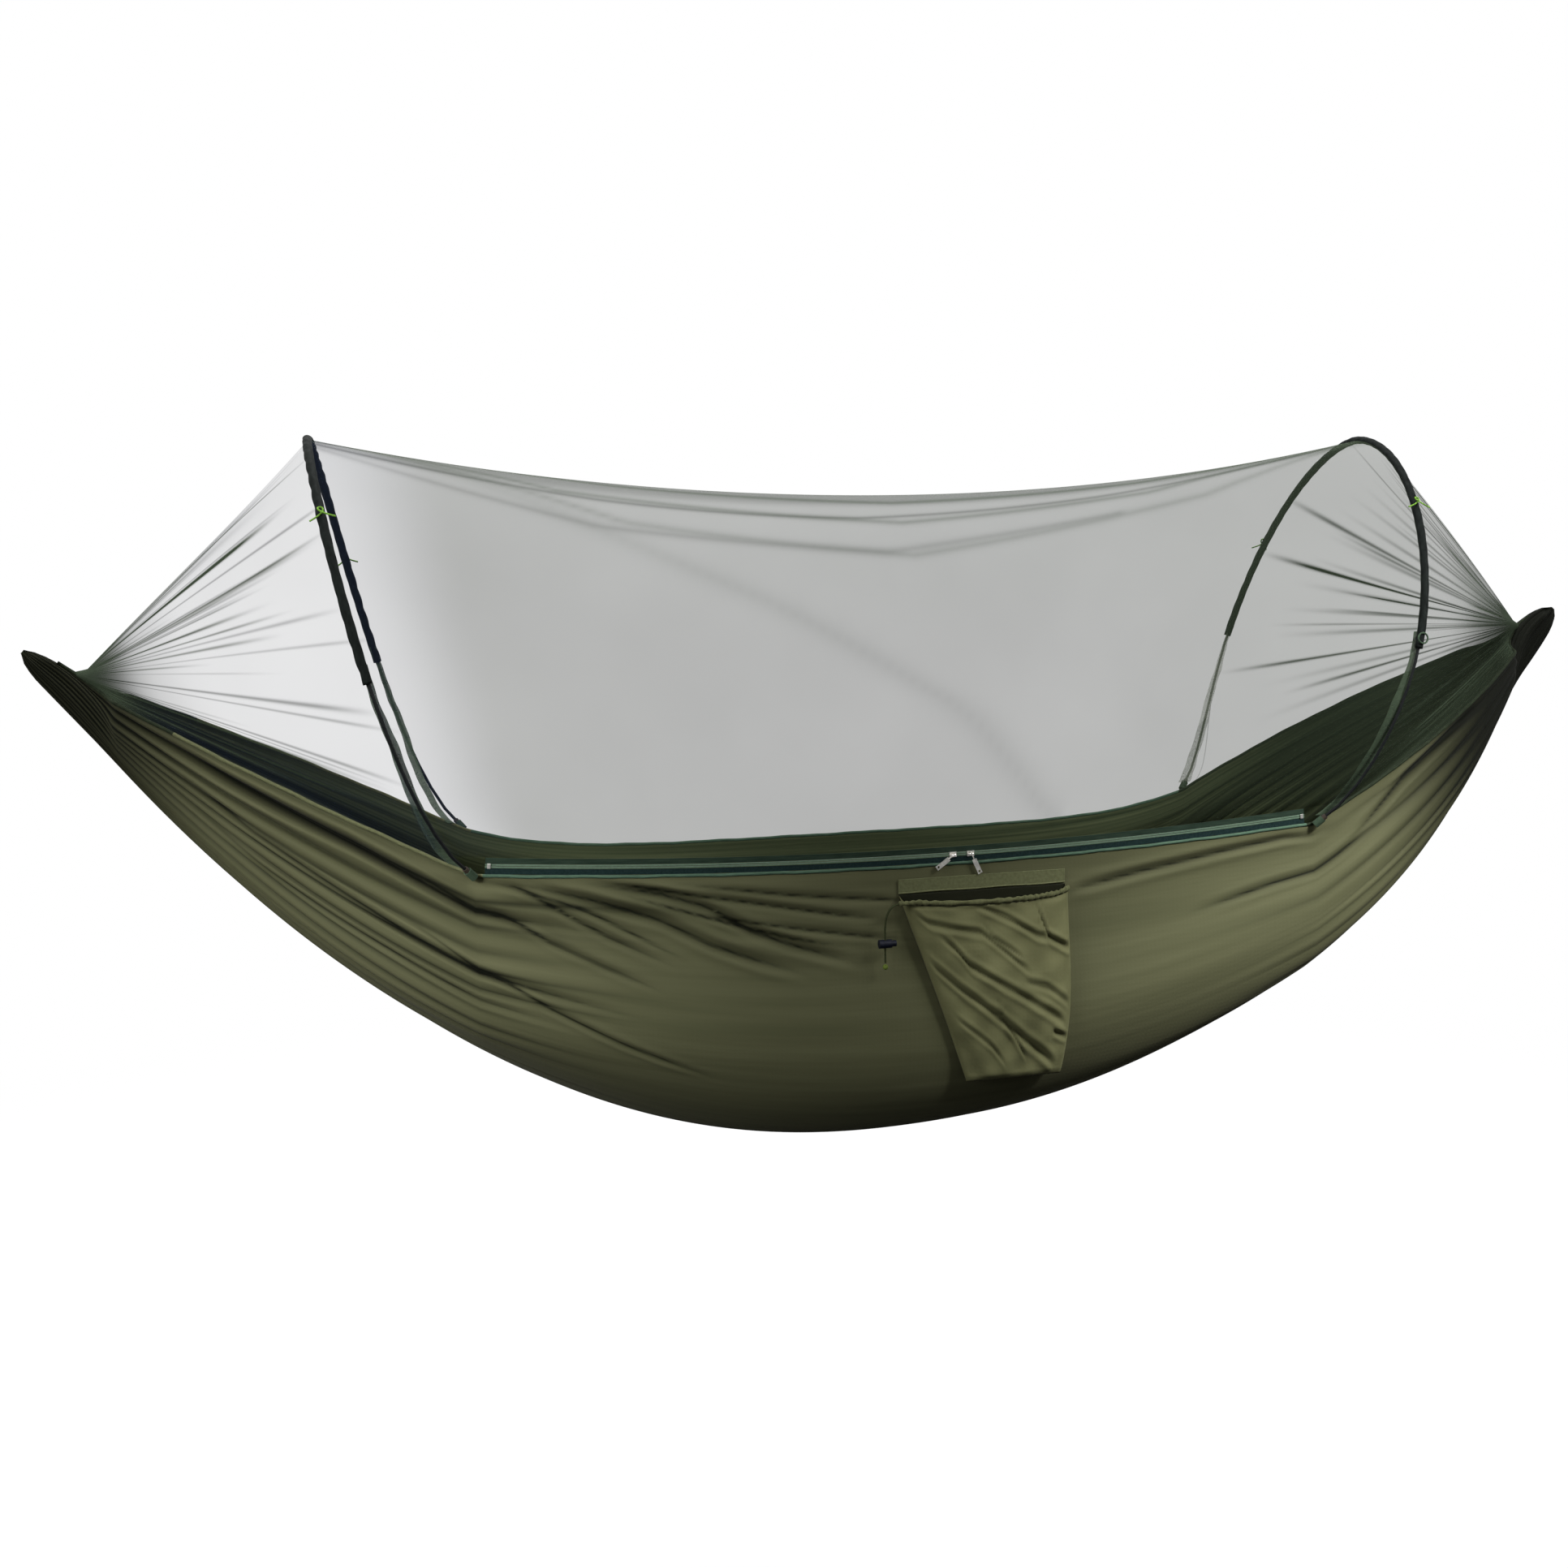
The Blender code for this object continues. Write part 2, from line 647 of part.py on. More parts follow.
def ribbed_roller(name, end):
    """The gathered hem round the rope: a roller with one rib for each gather, along Y."""
    steps = ROLLER_RIB_STEPS * CHANNEL_RIBS
    profile = [Vector((0.0, 0.0, CHANNEL_HALF_WIDTH))]
    flat = CHANNEL_RADIUS - 2 * CHANNEL_RIB
    profile.append(Vector((flat, 0.0, CHANNEL_HALF_WIDTH)))
    for k in range(1, steps):
        wave = (1 + math.cos(2 * math.pi * CHANNEL_RIBS * k / steps)) / 2
        radius = CHANNEL_RADIUS - CHANNEL_RIB * wave
        profile.append(Vector((radius, 0.0, CHANNEL_HALF_WIDTH * (1 - 2 * k / steps))))
    profile.append(Vector((flat, 0.0, -CHANNEL_HALF_WIDTH)))
    profile.append(Vector((0.0, 0.0, -CHANNEL_HALF_WIDTH)))
    bm = bmesh.new()
    line = [bm.verts.new(place) for place in profile]
    for first, second in zip(line, line[1:]):
        bm.edges.new((first, second))
    bmesh.ops.spin(bm, geom=bm.verts[:] + bm.edges[:], cent=(0, 0, 0), axis=(0, 0, 1),
                   angle=2 * math.pi, steps=ROLLER_SIDES, use_merge=True)
    bmesh.ops.remove_doubles(bm, verts=bm.verts, dist=CHANNEL_RIB * MERGE_SHARE)
    turn = Matrix.Translation((end * BORE_X, 0, 0)) @ Matrix.Rotation(math.pi / 2, 4, "X")
    bmesh.ops.transform(bm, matrix=turn, verts=bm.verts)
    return mesh_from(bm, name)


def gather_neck(name, end):
    """The bunched cloth between the bed's end and the roller: a hull round both."""
    bm = bmesh.new()
    start = BED_END_X + CHANNEL_GAP
    for k in range(BED_COLUMNS // 2 + 1):
        place = bed_point(end * BED_END_X, 4 * k / BED_COLUMNS - 1, folded=False)
        bm.verts.new((end * start, place.y, place.z))
    for side in (NEAR, FAR):
        for k in range(NECK_SIDES):
            turn = 2 * math.pi * k / NECK_SIDES
            reach = CHANNEL_RADIUS - 2 * CHANNEL_RIB
            bm.verts.new((end * BORE_X + reach * math.cos(turn),
                          side * (CHANNEL_HALF_WIDTH - CHANNEL_RIB), reach * math.sin(turn)))
    made = bmesh.ops.convex_hull(bm, input=bm.verts, use_existing_faces=False)
    spare = [item for item in made["geom_interior"] if isinstance(item, bmesh.types.BMVert)]
    bmesh.ops.delete(bm, geom=spare, context="VERTS")
    return mesh_from(bm, name)


def build_channel(end, word):
    """The gathered end of the bed with the bore that the hanging rope passes through."""
    name = word + "_hem_channel"
    made = add_object(name, ribbed_roller(name, end), DARK_OLIVE)
    neck = add_object(name + "_neck", gather_neck(name + "_neck", end), None, home=CUTTERS)
    reach = 2 * CHANNEL_HALF_WIDTH
    bore = rod_mesh(name + "_bore", (end * BORE_X, -reach, 0), (end * BORE_X, reach, 0),
                    ROPE_BORE_RADIUS, BORE_SIDES)
    bore = add_object(name + "_bore", bore, None, home=CUTTERS)
    smooth(join_and_cut(made, joined=[neck], cut=[bore]))


# Zip.

def arc_point(x, rise, out=0.0):
    """A point of the zip line, raised towards the arc's centre by rise."""
    angle = math.asin(x / ARC_RADIUS)
    reach = ARC_RADIUS - rise
    return Vector((reach * math.sin(angle), -MOUTH_HALF_WIDTH + out,
                   ARC_CENTRE_Z - reach * math.cos(angle)))


def arc_band(name, low, high, thickness, finish):
    """A strip that follows the zip line between two heights above the rim line."""
    bm = bmesh.new()
    places = [ZIP_HALF_LENGTH * (2 * k / ZIP_STEPS - 1) for k in range(ZIP_STEPS + 1)]
    outline = [arc_point(x, low, -thickness / 2) for x in places]
    outline += [arc_point(x, high, -thickness / 2) for x in reversed(places)]
    face = bm.faces.new([bm.verts.new(place) for place in outline])
    grown = bmesh.ops.extrude_face_region(bm, geom=[face])
    moved = [item for item in grown["geom"] if isinstance(item, bmesh.types.BMVert)]
    bmesh.ops.translate(bm, vec=(0, thickness, 0), verts=moved)
    return add_object(name, mesh_from(bm, name), finish)


def slider_turn(x):
    """The frame of a slider: on the zip's middle line, turned with the arc."""
    angle = math.asin(x / ARC_RADIUS)
    return Matrix.Translation(arc_point(x, ZIP_MIDDLE)) @ Matrix.Rotation(-angle, 4, "Y")


def build_zip():
    """Two tapes, the two halves of the coil and the stops at the zip's ends."""
    tape_low = HEM_RADIUS + ZIP_GAP
    coil_high = ZIP_MIDDLE + COIL_SPLIT / 2
    arc_band("zip_tape_lower", tape_low, tape_low + TAPE_HEIGHT, TAPE_THICKNESS, TAPE)
    arc_band("zip_coil_lower", COIL_LOW, COIL_LOW + COIL_HEIGHT, COIL_THICKNESS, COIL)
    arc_band("zip_coil_upper", coil_high, coil_high + COIL_HEIGHT, COIL_THICKNESS, COIL)
    arc_band("zip_tape_upper", coil_high + COIL_HEIGHT + ZIP_GAP, ZIP_TOP, TAPE_THICKNESS, TAPE)
    for end, word in ((LEFT, "left"), (RIGHT, "right")):
        turn = slider_turn(end * (ZIP_HALF_LENGTH - STOP_LENGTH))
        front = -COIL_THICKNESS / 2 - FIT_GAP
        low = (-STOP_LENGTH / 2, front - STOP_THICKNESS, -STOP_HEIGHT / 2)
        high = (STOP_LENGTH / 2, front, STOP_HEIGHT / 2)
        made = add_object(word + "_zip_stop", box_mesh(word + "_zip_stop", low, high, turn), STEEL)
        edge = made.modifiers.new("edge", "BEVEL")
        edge.width = STOP_THICKNESS * EDGE_SHARE
        edge.segments = 1


def build_slider(word, x, pivot):
    """A slider: two plates on a thin web, lips over the coil and a bail for the pull."""
    name = word + "_zip_slider"
    turn = slider_turn(x)
    half = SLIDER_LENGTH / 2
    inside = COIL_THICKNESS / 2 + SLIDER_CLEAR
    coil_edge = COIL_SPLIT / 2 + COIL_HEIGHT
    reach = coil_edge + SLIDER_CLEAR + SLIDER_FLANGE
    outer = inside + SLIDER_PLATE
    front = box_mesh(name, (-half, -outer, -reach), (half, -inside, reach), turn)
    made = add_object(name, front, STEEL, pivot)
    pieces = [("back", (-half, inside, -reach), (half, outer, reach)),
              ("web", (-SLIDER_WEB_LENGTH / 2, -outer + SLIDER_PLATE / 2, -SLIDER_WEB / 2),
               (SLIDER_WEB_LENGTH / 2, outer - SLIDER_PLATE / 2, SLIDER_WEB / 2))]
    lip_in = TAPE_THICKNESS / 2 + SLIDER_CLEAR
    for sign, lip in ((-1, "low"), (1, "high")):
        near, far = sorted((sign * (reach - SLIDER_FLANGE), sign * (reach - SLIDER_STEP)))
        length = half - SLIDER_STEP
        pieces.append((lip, (-length, -inside - SLIDER_PLATE / 2, near), (length, -lip_in, far)))
    joined = []
    for tag, low, high in pieces:
        data = box_mesh(f"{name}_{tag}", low, high, turn)
        joined.append(add_object(f"{name}_{tag}", data, None, home=CUTTERS))
    foot, top, side = -outer + SLIDER_PLATE / 2, -outer - BAIL_RISE, BAIL_LENGTH / 2
    corner = side * BAIL_CORNER_SHARE
    bail = [turn @ Vector(place) for place in (
        (-side, foot, 0), (-side, top + corner, 0), (corner - side, top, 0),
        (side - corner, top, 0), (side, top + corner, 0), (side, foot, 0))]
    data = tube_mesh(name + "_bail", bail, BAIL_RADIUS)
    joined.append(add_object(name + "_bail", data, None, home=CUTTERS))
    join_and_cut(made, joined=joined)
    return turn @ Vector((0, top, 0))


def build_pull(word, centre, swing, pivot):
    """A pull: an oval wire ring round the bail with a plate that has a hole at its end."""
    name = word + "_zip_pull"
    turn = Matrix.Translation(centre) @ Matrix.Rotation(-swing, 4, "Y")
    half = RING_LENGTH / 2
    middle = RING_TOP - half
    ring = []
    for k in range(RING_POINTS):
        angle = 2 * math.pi * k / RING_POINTS
        ring.append(turn @ Vector((0, RING_HALF_DEPTH * math.sin(angle),
                                   middle + half * math.cos(angle))))
    data = tube_mesh(name, ring, RING_RADIUS, cyclic=True)
    made = add_object(name, data, STEEL, pivot)
    top = middle - half + RING_RADIUS
    low = (-PULL_WIDTH / 2, -PULL_THICKNESS / 2, top - PULL_LENGTH)
    plate = box_mesh(name + "_plate", low, (PULL_WIDTH / 2, PULL_THICKNESS / 2, top), turn)
    plate = add_object(name + "_plate", plate, None, home=CUTTERS)
    hole = top - PULL_LENGTH + 2 * PULL_HOLE_RADIUS
    ends = [turn @ Vector((0, sign * 2 * PULL_THICKNESS, hole)) for sign in (-1, 1)]
    hole = rod_mesh(name + "_hole", ends[0], ends[1], PULL_HOLE_RADIUS, HOLE_SIDES)
    hole = add_object(name + "_hole", hole, None, home=CUTTERS)
    join_and_cut(made, joined=[plate], cut=[hole])


# Net panels.

def arch_share(angle):
    """How high a place on the hoop is, from 0 at the feet to 1 at the crown."""
    return (hoop_point(RIGHT, angle).z - FOOT_Z) / HOOP_HEIGHT


def edge_weight(share):
    """How closely a net point follows the rim instead of the hoop: 1 at the rim."""
    return max(0.0, 1 - share / NET_EDGE_BLEND) ** NET_EDGE_POWER


def on_hem(x, side):
    """The place on a hem's straight stretches that lies at x."""
    places = stations()
    for first, second in zip(places, places[1:]):
        if first <= x <= second:
            return rim_point(first, side).lerp(rim_point(second, side), (x - first) / (second - first))
    return rim_point(x, side)


def net_edge(x, side, zipped):
    """Where the net's lower edge runs above the rim."""
    if zipped and side == NEAR:
        place = arc_point(x, ZIP_TOP + NET_GAP + NET_THICKNESS / 2)
        return Vector((x, place.y, place.z))
    lift = (HEM_RADIUS + NET_GAP + NET_THICKNESS / 2) * SLOPE_STRETCH
    return on_hem(x, side) + Vector((0, 0, lift))


def net_angles(columns, near_height, far_height):
    """Equal steps along the hoop between two heights on its near and far legs."""
    first = near_angle(near_height)
    last = math.pi - near_angle(far_height)
    return [first + (last - first) * k / columns for k in range(columns + 1)]


def to_edge(place, angle, low_share, zipped):
    """Draw the lowest points of a net on to its rim."""
    side = NEAR if angle < math.pi / 2 else FAR
    weight = edge_weight(arch_share(angle) - low_share)
    target = net_edge(place.x, side, zipped)
    return place + Vector((0, target.y - place.y, target.z - place.z)) * weight


def build_middle_net():
    """The tunnel of net between the hoops, with its sagging ridge."""
    zip_height = NET_FOOT_HEIGHT + ZIP_TOP
    angles = net_angles(MIDDLE_COLUMNS, zip_height, NET_FOOT_HEIGHT)
    grid = []
    for row in range(MIDDLE_ROWS + 1):
        u = 2 * row / MIDDLE_ROWS - 1
        line = []
        for angle in angles:
            corner = hoop_point(RIGHT, angle)
            x = u * (corner.x - NET_OFFSET)
            sag = RIDGE_SAG * arch_share(angle) ** RIDGE_POWER * (1 - u * u)
            wave = math.sin(2 * NET_MIDDLE_FOLDS * angle)
            fold = NET_FOLD * wave * (1 - u * u) * arch_share(angle)
            place = Vector((x, corner.y, corner.z - sag + fold))
            low = zip_height if angle < math.pi / 2 else NET_FOOT_HEIGHT
            line.append(to_edge(place, angle, low / HOOP_HEIGHT, True))
        grid.append(line)
    surface("net_middle", grid, NET_THICKNESS, NET)


def build_end_net(end, word):
    """The tapering net between a hoop and the bed's end, with folds that meet there."""
    angles = net_angles(END_COLUMNS, NET_FOOT_HEIGHT, NET_FOOT_HEIGHT)
    apex_x = BED_END_X - APEX_INSET
    grid = []
    for row in range(END_ROWS + 1):
        r = row / END_ROWS
        line = []
        for k, angle in enumerate(angles):
            start = hoop_point(end, angle) + Vector((end * NET_OFFSET, 0, 0))
            turn = math.pi * k / END_COLUMNS
            top = net_edge(end * apex_x, NEAR, False)
            finish = Vector((end * apex_x, top.y * math.cos(turn), top.z + APEX_RISE * math.sin(turn)))
            place = start.lerp(finish, r)
            wave = math.cos(2 * math.pi * NET_FOLDS * k / END_COLUMNS) * math.sin(turn)
            outward = Vector((0, -math.cos(turn), math.sin(turn)))
            place += outward * NET_FOLD * wave * 4 * r * (1 - r)
            line.append(to_edge(place, angle, NET_FOOT_HEIGHT / HOOP_HEIGHT, False))
        grid.append(line)
    surface(f"net_{word}_end", grid, NET_THICKNESS, NET)


# Storage sack.

def sack_samples():
    """Places at which the sack is held clear of the bed."""
    return [SACK_LEFT, (SACK_LEFT + SACK_RIGHT) / 2, SACK_RIGHT]


def strip_inner():
    """How far out the sewn strip's inner face stands."""
    heights = (STRIP_TOP, HINGE_Z)
    widest = max(bed_side(x, z) for x in sack_samples() for z in heights)
    return max(widest + CLOTH_THICKNESS / 2 + SACK_GAP, MOUTH_HALF_WIDTH)


def sack_back(z):
    """How far out the sack's back hangs: on the bed down to its widest, then straight down."""
    heights = [HINGE_Z + (z - HINGE_Z) * k / SACK_RINGS for k in range(SACK_RINGS + 1)]
    widest = max(bed_side(x, height) for x in sack_samples() for height in heights)
    return max(strip_inner(), widest + CLOTH_THICKNESS / 2 + SACK_EASE) + SACK_WALL / 2


def sack_ring(share):
    """One level of the sack: its left, right, height and depth; share 0 is the mouth."""
    z = HINGE_Z - SACK_GAP - SACK_WALL / 2 - SACK_HEIGHT * share
    left = SACK_LEFT + (SACK_BOTTOM_LEFT - SACK_LEFT) * share
    right = SACK_RIGHT + (SACK_BOTTOM_RIGHT - SACK_RIGHT) * share ** SACK_SIDE_POWER
    swell = math.sin(math.pi * min(1.0, share / SACK_SWELL_SHARE))
    depth = SACK_MOUTH_DEPTH + (SACK_BOTTOM_DEPTH - SACK_MOUTH_DEPTH) * share ** SACK_DEPTH_POWER
    depth += (SACK_BELLY_DEPTH - SACK_MOUTH_DEPTH) * swell
    return left, right, z, depth


def sack_point(share, turn):
    """A point of the sack's wall; the turn runs round the ring from its left end by the front."""
    left, right, z, depth = sack_ring(share)
    x = (left + right) / 2 - (right - left) / 2 * math.cos(turn)
    front = max(0.0, math.sin(turn)) ** SACK_FRONT_POWER
    drop = SACK_MOUTH_DROP * front * (1 - share) ** 2
    return Vector((x, -(sack_back(z - drop) + depth * front), z - drop))


def build_sack(pivot):
    """The sack's strip, its bag with an open mouth and the drawcord's channel."""
    inner = strip_inner()
    low = (SACK_LEFT, -(inner + STRIP_THICKNESS), STRIP_TOP - STRIP_HEIGHT)
    high = (SACK_RIGHT, -inner, STRIP_TOP)
    strip = add_object("sack_strip", box_mesh("sack_strip", low, high), OLIVE)
    edge = strip.modifiers.new("edge", "BEVEL")
    edge.width = STRIP_THICKNESS * EDGE_SHARE
    edge.segments = 1

    bm = bmesh.new()
    rings = []
    half = SACK_POINTS // 2
    for level in range(SACK_RINGS + 1):
        share = level / SACK_RINGS
        ring = [sack_point(share, math.pi * k / half) for k in range(half + 1)]
        left, right, z, depth = sack_ring(share)
        for k in range(1, half):
            x = right + (left - right) * k / half
            ring.append(Vector((x, -sack_back(z), z)))
        rings.append([bm.verts.new(place) for place in ring])
    for high_ring, low_ring in zip(rings, rings[1:]):
        count = len(high_ring)
        for k in range(count):
            after = (k + 1) % count
            bm.faces.new((high_ring[k], high_ring[after], low_ring[after], low_ring[k]))
    bm.faces.new(rings[-1])
    body = add_object("sack_body", mesh_from(bm, "sack_body"), OLIVE, pivot)
    solidify(body, SACK_WALL)

    rise = MOUTH_CHANNEL_RADIUS + SACK_WALL / 2
    run = MOUTH_CHANNEL_STOP_SHARE - MOUTH_CHANNEL_START_SHARE
    mouth = []
    for k in range(MOUTH_CHANNEL_STEPS + 1):
        turn = math.pi * (MOUTH_CHANNEL_START_SHARE + run * k / MOUTH_CHANNEL_STEPS)
        mouth.append(sack_point(0.0, turn) + Vector((0, -SACK_WALL / 2, rise)))
    mouth.insert(0, Vector((SACK_LEFT - 2 * MOUTH_CHANNEL_RADIUS, mouth[0].y, mouth[0].z)))
    tube("sack_mouth_channel", mouth, MOUTH_CHANNEL_RADIUS, OLIVE, pivot)
    return mouth[0]


# Drawcord and its lock.

def cord_route(start, offset):
    """One strand: out of the channel's end, over and straight down through the lock."""
    bent = [start + Vector((-CORD_OUT * out, offset, -CORD_DROP * down))
            for out, down in CORD_ROUTE_SHARES]
    return [start + Vector((-FIT_GAP, offset, 0)), *bent,
            start + Vector((-CORD_OUT, offset, -CORD_DROP)),
            start + Vector((-CORD_OUT, offset, -CORD_FALL))]


def smooth_route(points, steps):
    """Points on a smooth line (a Catmull-Rom spline) through a route's own points."""
    made = []
    for k in range(len(points) - 1):
        before = points[max(0, k - 1)]
        first, second = points[k], points[k + 1]
        after = points[min(len(points) - 1, k + 2)]
        if k == len(points) - 2:
            made += [first, second]
            break
        if k == len(points) - 3:
            after = second + (second - first).length * Vector((0, 0, -1))
        for step in range(steps):
            t = step / steps
            made.append(0.5 * ((2 * first) + (second - before) * t
                               + (2 * before - 5 * first + 4 * second - after) * t * t
                               + (3 * first - before - 3 * second + after) * t ** 3))
    return made


def build_cords(start, pivot):
    """The two strands of the drawcord and the knot that joins their ends."""
    for offset, word in ((-CORD_SPACING / 2, "front"), (CORD_SPACING / 2, "back")):
        route = smooth_route(cord_route(start, offset), CORD_STEPS)
        tube("drawcord_" + word, route, CORD_RADIUS, CORD, pivot, COARSE_ROUND_STEPS)
    top = start + Vector((-CORD_OUT, 0, -CORD_FALL - FIT_GAP))
    bm = bmesh.new()
    bmesh.ops.create_uvsphere(bm, u_segments=KNOT_SIDES, v_segments=KNOT_ROWS,
                              radius=KNOT_RADIUS)
    bmesh.ops.translate(bm, vec=top - Vector((0, 0, KNOT_RADIUS)), verts=bm.verts)
    smooth(add_object("drawcord_knot", mesh_from(bm, "drawcord_knot"), NEON, pivot))


def build_lock(centre, body_pivot, plunger_pivot):
    """A barrel cord lock: a body with a blind bore, a spring and a plunger."""
    blind = centre.x - LOCK_LENGTH / 2
    mouth = centre.x + LOCK_LENGTH / 2
    y, z = centre.y, centre.z
    body = add_object("cord_lock_body", rod_mesh("cord_lock_body", (blind, y, z), (mouth, y, z),
                                                 LOCK_RADIUS, LOCK_SIDES), LOCK, body_pivot)
    bore = rod_mesh("lock_bore", (blind + LOCK_WALL, y, z), (mouth + LOCK_WALL, y, z),
                    LOCK_BORE_RADIUS, LOCK_SIDES)
    cords_half = CORD_SPACING / 2 + CORD_RADIUS + CORD_CLEAR
    slot_half = CORD_RADIUS + CORD_CLEAR
    reach = 2 * LOCK_RADIUS
    slot = box_mesh("lock_slot", (centre.x - slot_half, y - cords_half, z - reach),
                    (centre.x + slot_half, y + cords_half, z + reach))
    smooth(join_and_cut(body, cut=[add_object("lock_bore", bore, None, home=CUTTERS),
                                   add_object("lock_slot", slot, None, home=CUTTERS)]))

    inner = blind + LOCK_WALL + LOCK_SPRING_SPACE
    plunger = rod_mesh("cord_lock_plunger", (inner, y, z), (mouth + PLUNGER_OUT, y, z),
                       PLUNGER_RADIUS, LOCK_SIDES)
    plunger = add_object("cord_lock_plunger", plunger, LOCK, plunger_pivot)
    eye = box_mesh("plunger_slot", (centre.x - slot_half, y - cords_half, z - reach),
                   (centre.x + slot_half + PLUNGER_TRAVEL, y + cords_half, z + reach))
    smooth(join_and_cut(plunger, cut=[add_object("plunger_slot", eye, None, home=CUTTERS)]))

    low = blind + LOCK_WALL + SPRING_WIRE + FIT_GAP
    high = inner - SPRING_WIRE - FIT_GAP
    count = SPRING_TURNS * SPRING_TURN_POINTS
    coil = []
    for k in range(count + 1):
        angle = 2 * math.pi * k / SPRING_TURN_POINTS
        coil.append(Vector((low + (high - low) * k / count, y + SPRING_RADIUS * math.cos(angle),
                            z + SPRING_RADIUS * math.sin(angle))))
    tube("cord_lock_spring", coil, SPRING_WIRE, STEEL, body_pivot, COARSE_ROUND_STEPS)


def main():
    """Build every piece of the hammock."""
    build_bed()
    build_hems()
    build_zip()
    for end, word in ((LEFT, "left"), (RIGHT, "right")):
        build_channel(end, word)
        pivot = joint_empty(word + "_hoop_pivot", (end * FOOT_X, 0, FOOT_Z))
        build_hoop(end, word, pivot)
        build_tie(word + "_near_net_tie", end, NEAR, NEAR_TIE_HEIGHT, pivot)
        build_tie(word + "_far_net_tie", end, FAR, FAR_TIE_HEIGHT, pivot)
        if end == RIGHT:
            build_tie_back_loop(pivot)
        build_end_net(end, word)
    build_middle_net()

    zip_pivot = joint_empty("zip_arc_centre", (0, -MOUTH_HALF_WIDTH, ARC_CENTRE_Z))
    sliders = (("left", LEFT_SLIDER_X, LEFT_PULL_ANGLE), ("right", RIGHT_SLIDER_X, RIGHT_PULL_ANGLE))
    for word, x, swing in sliders:
        centre = build_slider(word, x, zip_pivot)
        pull_pivot = joint_empty(word + "_pull_pivot", centre)
        pull_pivot.parent = zip_pivot
        pull_pivot.matrix_parent_inverse = zip_pivot.matrix_world.inverted()
        build_pull(word, centre, swing, pull_pivot)

    sack_pivot = joint_empty("sack_pivot", (0, -strip_inner(), HINGE_Z))
    start = build_sack(sack_pivot)
    build_cords(start, sack_pivot)
    centre = start + Vector((-CORD_OUT, 0, -LOCK_FALL))
    body_pivot = joint_empty("lock_pivot", centre)
    plunger_pivot = joint_empty("plunger_pivot", centre)
    build_lock(centre, body_pivot, plunger_pivot)


main()
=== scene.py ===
"""Looks of the hammock tent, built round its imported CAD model.

Metres, +Z up, +X along the bed towards its right end, -Y the near side with the zip.
"""

import logging
import math
from dataclasses import dataclass, field
from enum import Enum, IntEnum
from typing import Callable, Sequence

import bmesh
import bpy
import numpy as np
from mathutils import Matrix, Vector


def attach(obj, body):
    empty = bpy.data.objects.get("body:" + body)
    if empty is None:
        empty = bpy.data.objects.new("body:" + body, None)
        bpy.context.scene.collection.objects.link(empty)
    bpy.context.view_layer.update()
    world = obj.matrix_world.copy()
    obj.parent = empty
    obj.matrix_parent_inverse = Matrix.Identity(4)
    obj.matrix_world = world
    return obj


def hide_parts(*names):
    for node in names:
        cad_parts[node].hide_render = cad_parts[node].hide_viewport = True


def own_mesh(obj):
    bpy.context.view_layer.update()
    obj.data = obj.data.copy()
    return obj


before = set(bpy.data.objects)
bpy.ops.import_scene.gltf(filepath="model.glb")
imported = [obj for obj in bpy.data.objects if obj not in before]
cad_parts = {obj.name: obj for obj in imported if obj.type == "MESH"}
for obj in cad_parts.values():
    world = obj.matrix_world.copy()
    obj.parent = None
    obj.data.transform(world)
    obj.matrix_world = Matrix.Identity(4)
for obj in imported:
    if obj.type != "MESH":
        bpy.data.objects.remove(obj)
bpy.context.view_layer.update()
LOG = logging.getLogger("hammock")

Array = np.ndarray
Colour = tuple[float, float, float]
Place = tuple[float, float, float]
Pair = tuple[float, float]
Path = tuple[Pair, ...]
Rows = tuple[tuple[float, float, float], ...]
Random = np.random.Generator
Socket = bpy.types.NodeSocket
Material = bpy.types.Material
Object = bpy.types.Object
WAVE_BANDS = 20


class Side(IntEnum):
    """A long side of the bed, as the sign of its y."""
    NEAR = -1
    FAR = 1


class End(IntEnum):
    """An end of the bed, as the sign of its x."""
    LEFT = -1
    RIGHT = 1


# Shared formulas.

def smoothstep(low: float, high: float, value: Array) -> Array:
    """Rise smoothly from 0 at low to 1 at high."""
    share = np.clip((value - low) / (high - low), 0.0, 1.0)
    return share * share * (3 - 2 * share)


def peak(value: Array, middle: float | Array, width: float | Array) -> Array:
    """A bell curve with its top of 1 at the middle."""
    return np.exp(-((value - middle) / width) ** 2)


def waves(x: Array, rows: Rows) -> Array:
    """The sum of sine waves, each given by its height, its rate and its phase."""
    return sum(height * np.sin(rate * x + phase) for height, rate, phase in rows)


def unit(vectors: Array) -> Array:
    """The same directions with a length of 1."""
    return vectors / np.linalg.norm(vectors, axis=1)[:, None]


def follow(path: Path, x: Array) -> tuple[float, float, Array]:
    """Where a path starts and stops, and its height at each x."""
    xs, heights = np.array(path).T
    return xs[0], xs[-1], np.interp(x, xs, heights)


# Finishes.

class Weave(Enum):
    """The make of a woven finish: threads per metre of its pattern, and how far they stand up."""
    RIPSTOP = (900.0, 0.00012)
    SMOOTH = (900.0, 0.00002)
    TAPE = (700.0, 0.0002)
    BRAID = (500.0, 0.0004)


